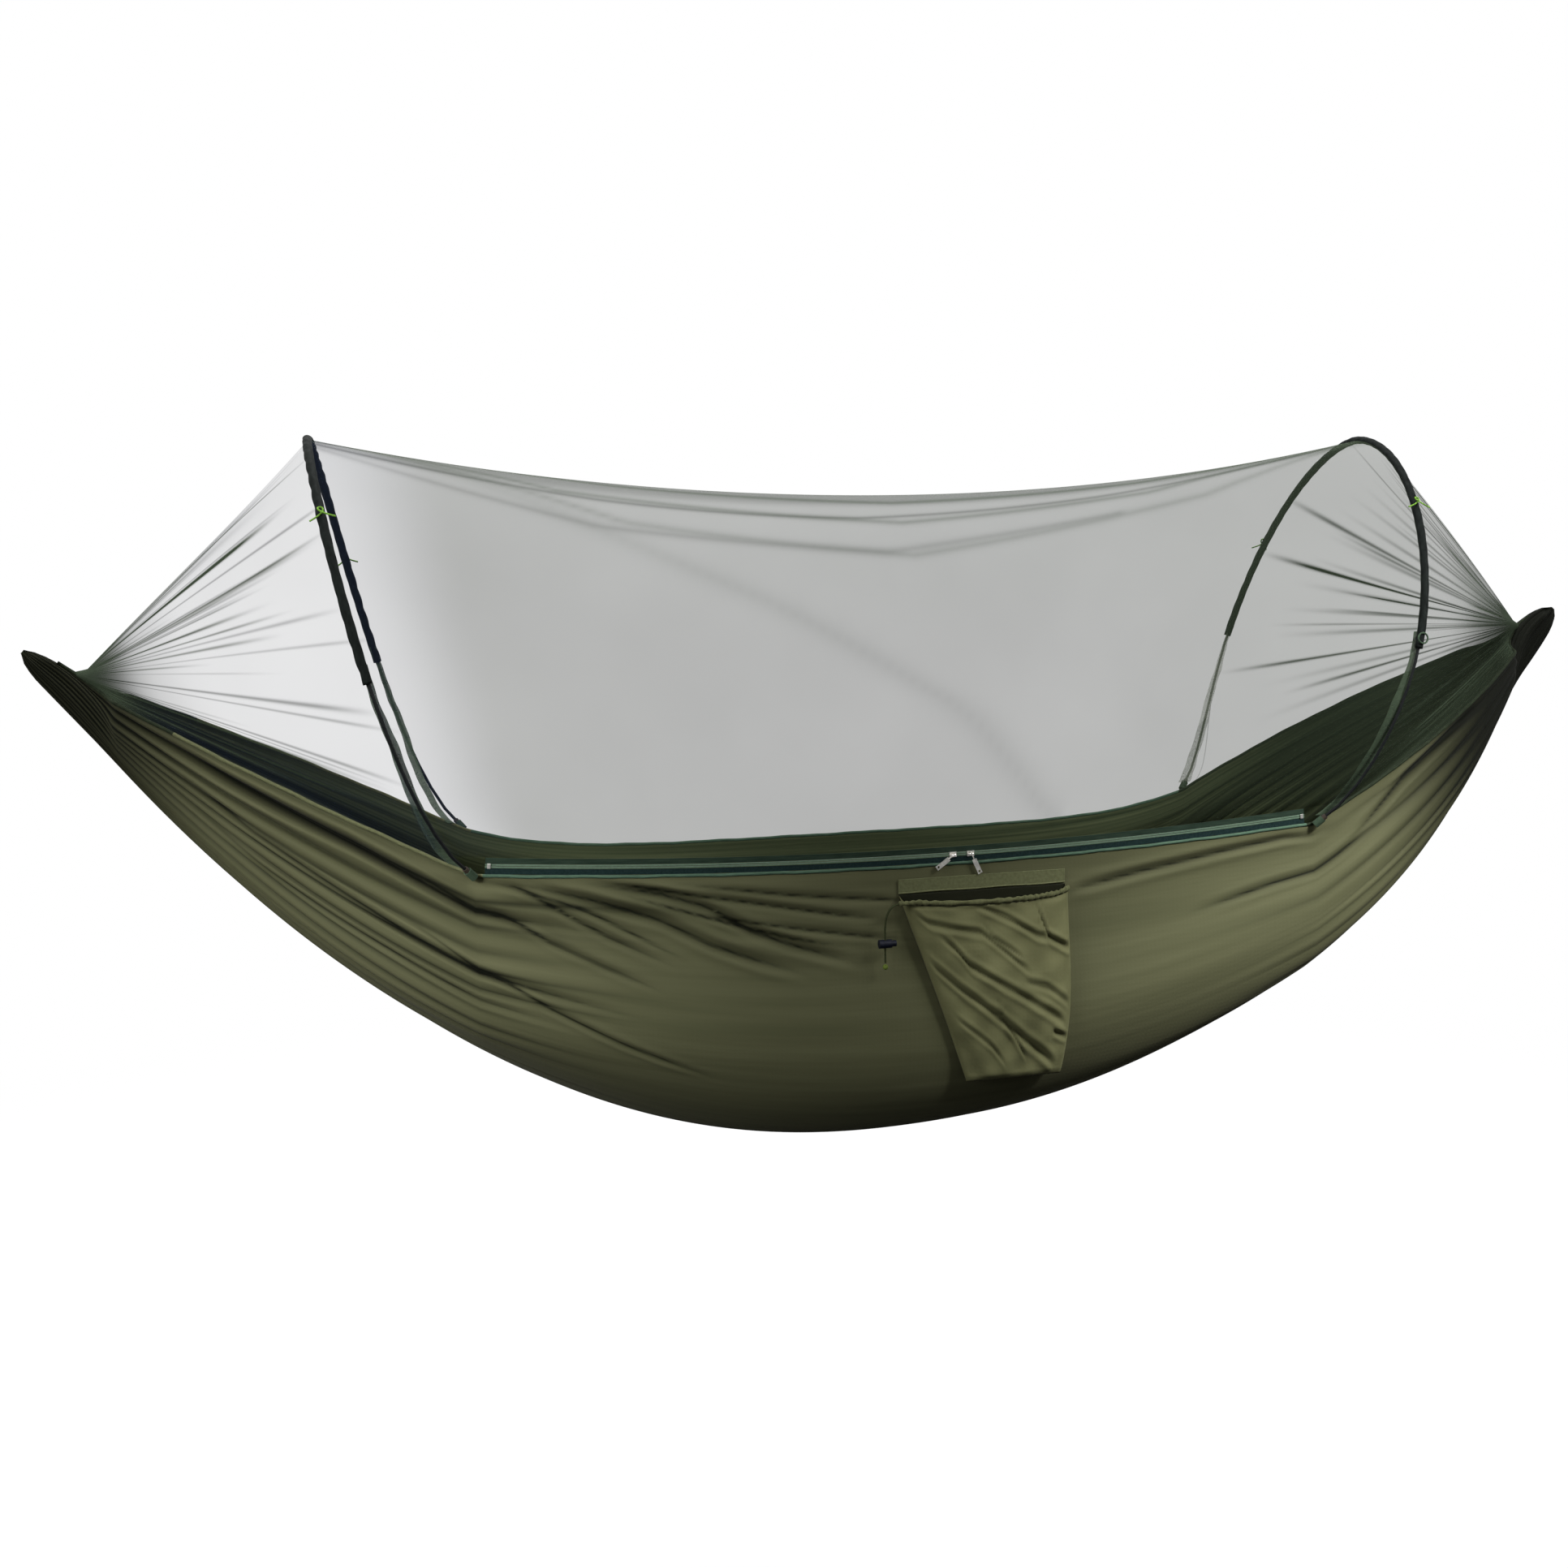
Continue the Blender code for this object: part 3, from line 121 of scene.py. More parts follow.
@dataclass(frozen=True)
class Nodes:
    """The nodes of a material or a world, with the few helpers that every finish uses."""
    owner: Material | bpy.types.World

    @classmethod
    def fresh(cls, name: str) -> "Nodes":
        """Start a material with one Principled shader.

        Args:
            name: The material's name.

        Returns:
            Its nodes.
        """
        made = bpy.data.materials.new(name)
        made.use_nodes = True
        return cls(made)

    def feed(self, into: Socket, value: object) -> None:
        """Join a socket to another one, or set it to a plain value.

        Args:
            into: The socket.
            value: The other socket, or the value.
        """
        if isinstance(value, Socket):
            self.owner.node_tree.links.new(value, into)
        else:
            into.default_value = value

    def surface(self, **values: object) -> Material:
        """Feed the Principled shader.

        Args:
            values: Values or sockets by the shader's own names, with _ for a space.

        Returns:
            The material.
        """
        shader = self.owner.node_tree.nodes["Principled BSDF"]
        for key, value in values.items():
            self.feed(shader.inputs[key.replace("_", " ")], value)
        return self.owner

    def add(self, kind: str, *sockets: object, **settings: object) -> bpy.types.Node:
        """Add a node, set its properties and feed its sockets.

        Args:
            kind: The node's type name, without its common start.
            sockets: Values or sockets for its first sockets, in order.
            settings: Property values by name; a name ending in _in feeds the socket of that name.

        Returns:
            The new node.
        """
        node = self.owner.node_tree.nodes.new("ShaderNode" + kind)
        for key, value in settings.items():
            if key.endswith("_in"):
                self.feed(node.inputs[key[:-3].replace("_", " ")], value)
            else:
                setattr(node, key, value)
        for into, value in zip(node.inputs, sockets):
            self.feed(into, value)
        return node

    def place(self, scale: Sequence[float], own_uv: bool) -> Socket:
        """Coordinates on the piece, stretched by scale.

        Args:
            scale: How many pattern units there are per metre or per UV unit.
            own_uv: Whether the piece's UV map is read instead of its Object coordinates.

        Returns:
            The vector socket.
        """
        source = self.add("UVMap").outputs["UV"] if own_uv else self.add("TexCoord").outputs["Object"]
        return self.add("Mapping", Vector_in=source, Scale_in=scale).outputs["Vector"]

    def noise(self, scale: Sequence[float], own_uv: bool, detail: float = 4.0) -> Socket:
        """A noise pattern's value, from 0 to 1."""
        return self.add("TexNoise", Vector_in=self.place(scale, own_uv), Scale_in=1.0,
                        Detail_in=detail).outputs["Fac"]

    def maths(self, operation: str, *values: object, **settings: object) -> Socket:
        """The result of a Math node on values or sockets."""
        return self.add("Math", *values, operation=operation, **settings).outputs[0]

    def blend(self, share: Socket, low: object, high: object) -> Socket:
        """Two colours, each a socket or four numbers, mixed by a share."""
        return self.add("Mix", data_type="RGBA", Factor_in=share, A_in=low, B_in=high).outputs["Result"]

    def weave(self, threads: float) -> Socket:
        """Crossed threads in Object coordinates, from 0 to 1.

        Args:
            threads: How many there are per metre.

        Returns:
            The pattern's socket.
        """
        grid = self.place((1, 1, 1), False)
        crossed = [self.add("TexWave", bands_direction=way, Scale_in=threads / WAVE_BANDS,
                            Vector_in=grid).outputs["Fac"] for way in ("X", "Z")]
        return self.maths("MULTIPLY", *crossed)

    def ramp(self, share: Socket, low: Colour, high: Colour, start: float = 0.3,
             stop: float = 0.7) -> Socket:
        """A colour that goes from low to high as a share goes from start to stop.

        Args:
            share: The share's socket.
            low: The colour up to start.
            high: The colour from stop.
            start: Where it begins to change.
            stop: Where it has changed.

        Returns:
            The colour's socket.
        """
        node = self.add("ValToRGB", share)
        for mark, place, colour in zip(node.color_ramp.elements, (start, stop), (low, high)):
            mark.position, mark.color = place, (*colour, 1.0)
        return node.outputs["Color"]

    def bump(self, height: Socket, distance: float, strength: float,
             under: Socket | None = None) -> Socket:
        """A bumped normal from a height pattern.

        Args:
            height: The pattern, from 0 to 1.
            distance: How high it stands at 1.
            strength: How much of the bump shows.
            under: Another bump below this one.

        Returns:
            The normal's socket.
        """
        node = self.add("Bump", Strength_in=strength, Distance_in=distance, Height_in=height)
        if under is not None:
            self.feed(node.inputs["Normal"], under)
        return node.outputs["Normal"]


@dataclass(frozen=True)
class Cloth:
    """A woven finish with long soft streaks, creases and a fine weave.

    A folded one reads the piece's UV map and is mixed towards a painted crease shade where its valley
    attribute is higher.
    """
    name: str
    dark: Colour
    light: Colour
    streaks: tuple[float, float, float]
    crease: float
    folded: bool = False
    weave: Weave = Weave.RIPSTOP
    weave_strength: float = 0.5
    crease_strength: float = 0.6
    roughness: float = 0.62
    sheen: float = 0.02
    gloss: float = 0.05
    alpha: float = 1.0
    # The painted shade in folds and creases: the colour that a folded finish takes where its valley attribute
    # is 1.
    painted_shade_colour: Colour = (0.006, 0.007, 0.004)

    def make(self) -> Material:
        """Build the material.

        Returns:
            The material.
        """
        nodes = Nodes.fresh(self.name)
        streak = nodes.noise(self.streaks, self.folded)
        colour = nodes.ramp(streak, self.dark, self.light)
        if self.folded:
            # Painted shade in the creases and folds, by the valley attribute.
            valley = nodes.add("Attribute", attribute_name="valley").outputs["Fac"]
            colour = nodes.blend(valley, colour, (*self.painted_shade_colour, 1.0))
        threads, height = self.weave.value
        woven = nodes.bump(nodes.weave(threads), height, self.weave_strength)
        creased = nodes.bump(streak, self.crease, self.crease_strength, woven)
        return nodes.surface(Base_Color=colour, Normal=creased, Roughness=self.roughness,
                             Sheen_Weight=self.sheen, Specular_IOR_Level=self.gloss, Alpha=self.alpha)


@dataclass(frozen=True)
class Netting:
    """Fine see-through net, denser where the piece's net_fill is higher, paler by its net_pale."""
    name: str
    colour: Colour
    pale: Colour
    roughness: float = 0.8
    gloss: float = 0.1
    cloud: float = 3.0
    uneven: float = 0.1

    def make(self) -> Material:
        """Build the material.

        Returns:
            The material.
        """
        nodes = Nodes.fresh(self.name)
        pale, fill = (nodes.add("Attribute", attribute_name=name).outputs["Fac"]
                      for name in ("net_pale", "net_fill"))
        cloud = nodes.noise((self.cloud,) * 3, False, self.cloud)
        around = nodes.maths("MULTIPLY_ADD", cloud, self.uneven, -self.uneven / 2)
        return nodes.surface(Base_Color=nodes.ramp(pale, self.colour, self.pale, 0.0, 1.0),
                             Alpha=nodes.maths("ADD", fill, around, use_clamp=True),
                             Roughness=self.roughness, Specular_IOR_Level=self.gloss)


@dataclass(frozen=True)
class Hard:
    """A metal, plastic, rubber or rod finish with fine wear."""
    name: str
    dark: Colour
    light: Colour
    roughness: float
    metallic: float = 0.0
    gloss: float = 0.5
    grain: float = 300.0
    depth: float = 0.00005
    wear_strength: float = 0.4
    spread: Pair = (0.8, 1.25)

    def make(self) -> Material:
        """Build the material.

        Returns:
            The material.
        """
        nodes = Nodes.fresh(self.name)
        wear = nodes.noise((self.grain,) * 3, False)
        least, most = (min(1.0, self.roughness * share) for share in self.spread)
        rough = nodes.add("MapRange", wear, To_Min_in=least, To_Max_in=most).outputs["Result"]
        return nodes.surface(Base_Color=nodes.ramp(wear, self.dark, self.light), Roughness=rough,
                             Metallic=self.metallic, Specular_IOR_Level=self.gloss,
                             Normal=nodes.bump(wear, self.depth, self.wear_strength))


class Finishes:
    """Every finish on the hammock, made once."""

    def __init__(self) -> None:
        """Build the materials."""
        even = (300.0, 300.0, 300.0)
        tape = {"weave": Weave.TAPE}
        braid = {"weave": Weave.BRAID, "streaks": (400.0, 400.0, 400.0)}
        # The folded finishes mix in a painted shade where the valley attribute is higher: in creases, fold
        # valleys and the drawn-together ends. The inside's painted shade is lighter.
        self.bed = Cloth("olive_nylon_outside", (0.102, 0.105, 0.054), (0.134, 0.136, 0.072),
                         (4.0, 22.0, 1.0), 0.0018, folded=True).make()
        self.inside = Cloth("olive_nylon_inside", (0.045, 0.06, 0.03), (0.15, 0.175, 0.088),
                            (4.0, 90.0, 1.0), 0.001, folded=True, weave=Weave.SMOOTH,
                            painted_shade_colour=(0.02, 0.026, 0.012)).make()
        self.hem = Cloth("dark_olive_hem_cloth", (0.05, 0.08, 0.05), (0.07, 0.11, 0.07),
                         (40.0, 300.0, 300.0), 0.0006).make()
        # Painted shade: the rim roll's end parts, beside the shaded ends of the bed, get this near-black
        # colour.
        self.shaded_rim_roll = Cloth("black_green_rim_roll", (0.016, 0.022, 0.012), (0.028, 0.038, 0.02),
                              (60.0, 300.0, 300.0), 0.0006).make()
        self.green_hem = Cloth("green_rim_binding", (0.07, 0.125, 0.085), (0.1, 0.17, 0.115),
                               (60.0, 300.0, 300.0), 0.0006).make()
        self.sack = Cloth("olive_sack_cloth", (0.16, 0.162, 0.078), (0.205, 0.206, 0.1),
                          (9.0, 7.0, 1.0), 0.002, folded=True).make()
        self.mouth = Cloth("olive_mouth_hem", (0.095, 0.1, 0.048), (0.14, 0.146, 0.07),
                           (250.0, 60.0, 60.0), 0.0012).make()
        self.piping = Cloth("olive_piping", (0.13, 0.14, 0.07), (0.17, 0.18, 0.09),
                            (200.0, 200.0, 200.0), 0.0005).make()
        self.net = Netting("grey_green_net", (0.052, 0.072, 0.044), (0.03, 0.045, 0.09)).make()
        self.binding = Cloth("net_binding", (0.085, 0.125, 0.08), (0.13, 0.18, 0.115),
                             (60.0, 200.0, 200.0), 0.0008, alpha=0.75).make()
        self.pale_binding = Cloth("pale_net_binding", (0.6, 0.64, 0.53), (0.72, 0.76, 0.64),
                                  (60.0, 200.0, 200.0), 0.0008, alpha=0.35).make()
        self.sleeve = Cloth("black_sleeve_cloth", (0.006, 0.0075, 0.007), (0.014, 0.018, 0.016),
                            (150.0, 150.0, 60.0), 0.001, **tape).make()
        self.tape = Cloth("teal_zip_tape_cloth", (0.008, 0.02, 0.02), (0.018, 0.035, 0.034),
                          even, 0.0003, **tape).make()
        self.upper_tape = Cloth("dark_green_zip_tape_cloth", (0.018, 0.032, 0.022),
                                (0.034, 0.056, 0.038), (30.0, 300.0, 300.0), 0.0003, **tape).make()
        self.coil = Hard("green_zip_coil_plastic", (0.09, 0.155, 0.1), (0.135, 0.215, 0.145),
                         0.45).make()
        self.steel = Hard("nickel_plate", (0.7, 0.68, 0.63), (0.9, 0.88, 0.82), 0.34, 1.0).make()
        self.rod = Hard("black_fibreglass_rod", (0.008, 0.009, 0.01), (0.016, 0.018, 0.018), 0.5,
                        gloss=0.1).make()
        self.rubber = Hard("brown_rubber_tip", (0.022, 0.014, 0.008), (0.04, 0.027, 0.016), 0.65).make()
        self.lock = Hard("navy_lock_plastic", (0.004, 0.005, 0.011), (0.008, 0.01, 0.02), 0.4,
                         gloss=0.15).make()
        self.neon = Cloth("neon_cord_braid", (0.2, 0.42, 0.05), (0.34, 0.68, 0.1), crease=0.0003,
                          **braid).make()
        self.knot = Cloth("yellow_green_knot", (0.11, 0.15, 0.03), (0.17, 0.23, 0.045), crease=0.0003,
                          **braid).make()
        self.cord = Cloth("olive_cord_braid", (0.03, 0.036, 0.015), (0.05, 0.06, 0.026), crease=0.0004,
                          **braid).make()


# The hammock's own lines, the same as in the CAD model.

@dataclass(frozen=True)
class Lines:
    """The hammock's sizes and the lines that follow from them, in metres."""
    half_length: float = 1.25
    foot_z: float = -0.315
    keel_depth: float = 0.81
    keel_power: float = 2.15
    foot_x: float = 0.65
    mouth: float = 0.21
    taper_power: float = 2.2
    belly: float = 0.07
    bed_end: float = 1.19
    end_half_width: float = 0.018
    arc_radius: float = 7.8376
    arc_centre: float = 7.495574
    far_sag: float = 0.045
    far_sag_power: float = 5.0
    slope: float = 0.525
    hem: float = 0.002
    hem_gap: float = 0.0006
    hoop_height: float = 0.61
    hoop_half_width: float = 0.288
    hoop_lean: float = 0.197
    crown_power: float = 1.12
    lean_power: float = 0.456
    lean_root: float = 0.02
    foot_half_width: float = 0.2183
    zip_top: float = 0.0255
    zip_gap: float = 0.001

    @property
    def stretch(self) -> float:
        """How much longer the sloping rim is than its run."""
        return math.hypot(1.0, self.slope)

    @property
    def foot_angle(self) -> float:
        """How far below its middle line the hoop's arch goes on to its feet."""
        return math.acos(self.foot_half_width / self.hoop_half_width)

    @property
    def arch(self) -> float:
        """How high the hoop's crown stands over its middle line."""
        return self.hoop_height / (1 + math.sin(self.foot_angle))

    def width(self, x: Array) -> Array:
        """Half the mouth's width."""
        share = np.clip((np.abs(x) - self.foot_x) / (self.bed_end - self.foot_x), 0.0, None)
        return self.mouth + (self.end_half_width - self.mouth) * share ** self.taper_power

    def rim(self, x: Array, side: Side) -> Array:
        """Height of a rim line.

        Args:
            x: Places along the bed.
            side: Which rim.

        Returns:
            The heights.
        """
        ends = self.foot_z + self.slope * (np.abs(x) - self.foot_x)
        inner = np.clip(np.abs(x), 0.0, self.foot_x)
        if side == Side.NEAR:
            middle = self.arc_centre - np.sqrt(self.arc_radius ** 2 - inner ** 2)
        else:
            middle = self.foot_z - self.far_sag * (1 - (inner / self.foot_x) ** self.far_sag_power)
        return np.where(np.abs(x) > self.foot_x, ends, middle)

    def keel(self, x: Array) -> Array:
        """Height of the bed's lowest line."""
        return -self.keel_depth * (1 - (np.abs(x) / self.half_length) ** self.keel_power)

    def bed(self, x: Array, across: Array) -> Array:
        """The smooth bed.

        Args:
            x: Places along it.
            across: Places across it, from -1 at the near rim to 1 at the far rim.

        Returns:
            The places in space.
        """
        angle = across * math.pi / 2
        lower = self.hem_gap * self.stretch
        top = np.where(across < 0, self.rim(x, Side.NEAR), self.rim(x, Side.FAR)) - lower
        depth = top - self.keel(x)
        wide = self.width(x)
        bulge = self.belly * np.sin(2 * angle) ** 2 * (wide / self.mouth) ** 2
        y = wide * np.sin(angle) + np.sign(across) * bulge
        return np.stack([x, y, top - depth * np.cos(angle)], axis=-1)

    def hoop(self, end: End, angle: Array) -> Array:
        """A hoop's middle line.

        Args:
            end: Which hoop.
            angle: Angles from the near foot over the crown.

        Returns:
            The places in space.
        """
        c, s = np.cos(angle), np.sin(angle)
        power = np.where(s > 0, self.crown_power, 1.0)
        y = -self.hoop_half_width * np.sign(c) * np.abs(c) ** power
        height = self.arch * math.sin(self.foot_angle) + self.arch * np.sign(s) * np.abs(s) ** power
        height = np.clip(height, 0, None)
        root = self.lean_root ** self.lean_power
        full = (self.hoop_height + self.lean_root) ** self.lean_power - root
        lean = self.hoop_lean * ((height + self.lean_root) ** self.lean_power - root) / full
        return np.stack([end * (self.foot_x + lean), y, self.foot_z + height], axis=-1)

    def near_angle(self, height: float) -> float:
        """The angle at which a hoop's near leg passes a height.

        Args:
            height: The height above the feet.

        Returns:
            The angle, negative below the hoop's middle line.
        """
        share = (height - self.arch * math.sin(self.foot_angle)) / self.arch
        power = self.crown_power if share > 0 else 1.0
        return math.copysign(math.asin(abs(share) ** (1 / power)), share)

    def zip_edge(self, x: Array) -> tuple[Array, Array]:
        """The net's edge along the top of the zip.

        Args:
            x: Places along the bed.

        Returns:
            The edge's y and z at each of them.
        """
        reach = self.arc_radius - self.zip_top - self.zip_gap
        turn = np.arcsin(np.clip(x / self.arc_radius, -1, 1))
        return np.full_like(x, -self.mouth), self.arc_centre - reach * np.cos(turn)


LINES = Lines()


# Shared makers.

def add_object(name: str, data: bpy.types.ID) -> Object:
    """Put data into the scene as an object.

    Args:
        name: The object's name.
        data: Its mesh, curve, lamp or camera.

    Returns:
        The object.
    """
    made = bpy.data.objects.new(name, data)
    bpy.context.scene.collection.objects.link(made)
    return made


def thicken(made: Object, thickness: float, offset: float = -1.0) -> bpy.types.Modifier:
    """Give a sheet its thickness.

    Args:
        made: The sheet.
        thickness: How thick it gets.
        offset: To which side, from -1 to 1.

    Returns:
        The modifier.
    """
    thick = made.modifiers.new("thickness", "SOLIDIFY")
    thick.thickness, thick.offset = thickness, offset
    return thick


def declare(made: Object, body: str, slot: str, *nodes: str) -> None:
    """Attach a finished piece to its body, hide the CAD nodes that it replaces, and report it.

    Args:
        made: The piece.
        body: The body that it rides.
        slot: Its slot; not used.
        nodes: The CAD nodes that it replaces.
    """
    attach(made, body)
    if nodes:
        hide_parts(*nodes)
    LOG.info("%s rides %s", made.name, body)


@dataclass
class Panel:
    """A sheet made from a grid whose points a rule places."""
    name: str
    columns: int
    rows: int
    obj: Object = field(init=False)
    u: Array = field(init=False)
    v: Array = field(init=False)

    def __post_init__(self) -> None:
        """Create the flat grid with its UV map."""
        bm = bmesh.new()
        bm.loops.layers.uv.new("UVMap")
        bmesh.ops.create_grid(bm, x_segments=self.columns, y_segments=self.rows, size=1.0,
                              calc_uvs=True)
        data = bpy.data.meshes.new(self.name)
        bm.to_mesh(data)
        bm.free()
        self.obj = add_object(self.name, data)
        flat = np.zeros(len(data.vertices) * 3, np.float32)
        data.vertices.foreach_get("co", flat)
        self.u, self.v = flat.reshape(-1, 3).astype(float).T[:2]

    def move(self, places: Array) -> None:
        """Put the grid's points in their places and shade them smooth.

        Args:
            places: A place for each point.
        """
        self.obj.data.vertices.foreach_set("co", places.astype(np.float32).ravel())
        self.obj.data.update()
        self.obj.data.shade_smooth()

    def attribute(self, name: str, values: Array) -> None:
        """Store a number for each point, for a material to read."""
        layer = self.obj.data.attributes.new(name, "FLOAT", "POINT")
        layer.data.foreach_set("value", values.astype(np.float32))

    def close(self) -> None:
        """Merge the edges that lie on each other, so that a rolled-up grid has no seam."""
        bm = bmesh.new()
        bm.from_mesh(self.obj.data)
        bmesh.ops.remove_doubles(bm, verts=bm.verts, dist=2e-6)
        bmesh.ops.recalc_face_normals(bm, faces=bm.faces)
        bm.to_mesh(self.obj.data)
        bm.free()
        self.obj.data.shade_smooth()


def rolled(name: str, path: Array, radius: Callable[[Array, Array], Array], around: int,
           across: Sequence[float]) -> Object:
    """A tube with a varying radius, made from a grid rolled round a path.

    Args:
        name: The piece's name.
        path: The points that the tube follows.
        radius: The radius from the share along the path and the angle round it.
        around: How many columns go round.
        across: A direction roughly square to the path, from which the angle is counted.

    Returns:
        The tube, with its ends drawn together.
    """
    panel = Panel(name, around, len(path) + 1)
    along = (panel.v + 1) / 2 * (len(path) + 1) - 1
    station = np.clip(along, 0, len(path) - 1)
    index = np.arange(len(path))
    run = unit(np.gradient(path, axis=0))
    first = unit(np.cross(run, np.asarray(across, float)))
    second = np.cross(run, first)
    middle, out, up = (np.stack([np.interp(station, index, table[:, k]) for k in range(3)], axis=-1)
                       for table in (path, first, second))
    angle = (panel.u + 1) * math.pi
    capped = np.where((along < 0) | (along > len(path) - 1), 0.0, 1.0)
    reach = radius(station / (len(path) - 1), angle) * capped
    panel.move(middle + reach[:, None] * (out * np.cos(angle)[:, None] + up * np.sin(angle)[:, None]))
    panel.close()
    return panel.obj


def tube(name: str, points: Sequence[Sequence[float]], radius: float, finish: Material) -> Object:
    """A round tube along points.

    Args:
        name: The piece's name.
        points: The line that it follows.
        radius: The tube's radius.
        finish: The material.

    Returns:
        The curve object.
    """
    data = bpy.data.curves.new(name, "CURVE")
    data.dimensions = "3D"
    data.bevel_depth = radius
    data.bevel_resolution = 3
    data.use_fill_caps = True
    spline = data.splines.new("POLY")
    spline.points.add(len(points) - 1)
    for knot, place in zip(spline.points, points):
        knot.co = (*place, 1.0)
    data.materials.append(finish)
    return add_object(name, data)


# Bed.

@dataclass(frozen=True)
class Crease:
    """A sharp valley in the cloth with a soft shoulder on each side, and painted shade along the valley."""
    path: Path
    depth: float
    width: float
    fade: float
    valley_power: float = 1.4
    shoulder: tuple[float, float, float] = (0.55, 1.7, 0.9)
    # How narrow and how sharp the painted shade along the valley is.
    dark: Pair = (2.2, 1.3)

    def sink(self, x: Array, across: Array, girth: Array) -> tuple[Array, Array]:
        """How far each point rises or sinks beside the crease.

        Args:
            x: Places along the bed.
            across: Places across the bed.
            girth: Metres of cloth per unit of across, at each point.

        Returns:
            The height at each point, negative in the valley, and how much painted shade it gets along the
            valley.
        """
        start, stop, line = follow(self.path, x)
        off = np.abs(across - line) * girth / self.width
        along = smoothstep(start, start + self.fade, x) * (1 - smoothstep(stop - self.fade, stop, x))
        valley = np.exp(-off ** self.valley_power)
        height, middle, width = self.shoulder
        narrow, power = self.dark
        sunk = self.depth * along * (height * peak(off, middle, width) - valley)
        return sunk, along * np.exp(-(narrow * off) ** power)


def creases(*rows: Sequence[float]) -> tuple[Crease, ...]:
    """Creases from rows of a depth, a width, a fade and then the path, number by number."""
    return tuple(Crease(tuple(zip(row[3::2], row[4::2])), *row[:3]) for row in rows)


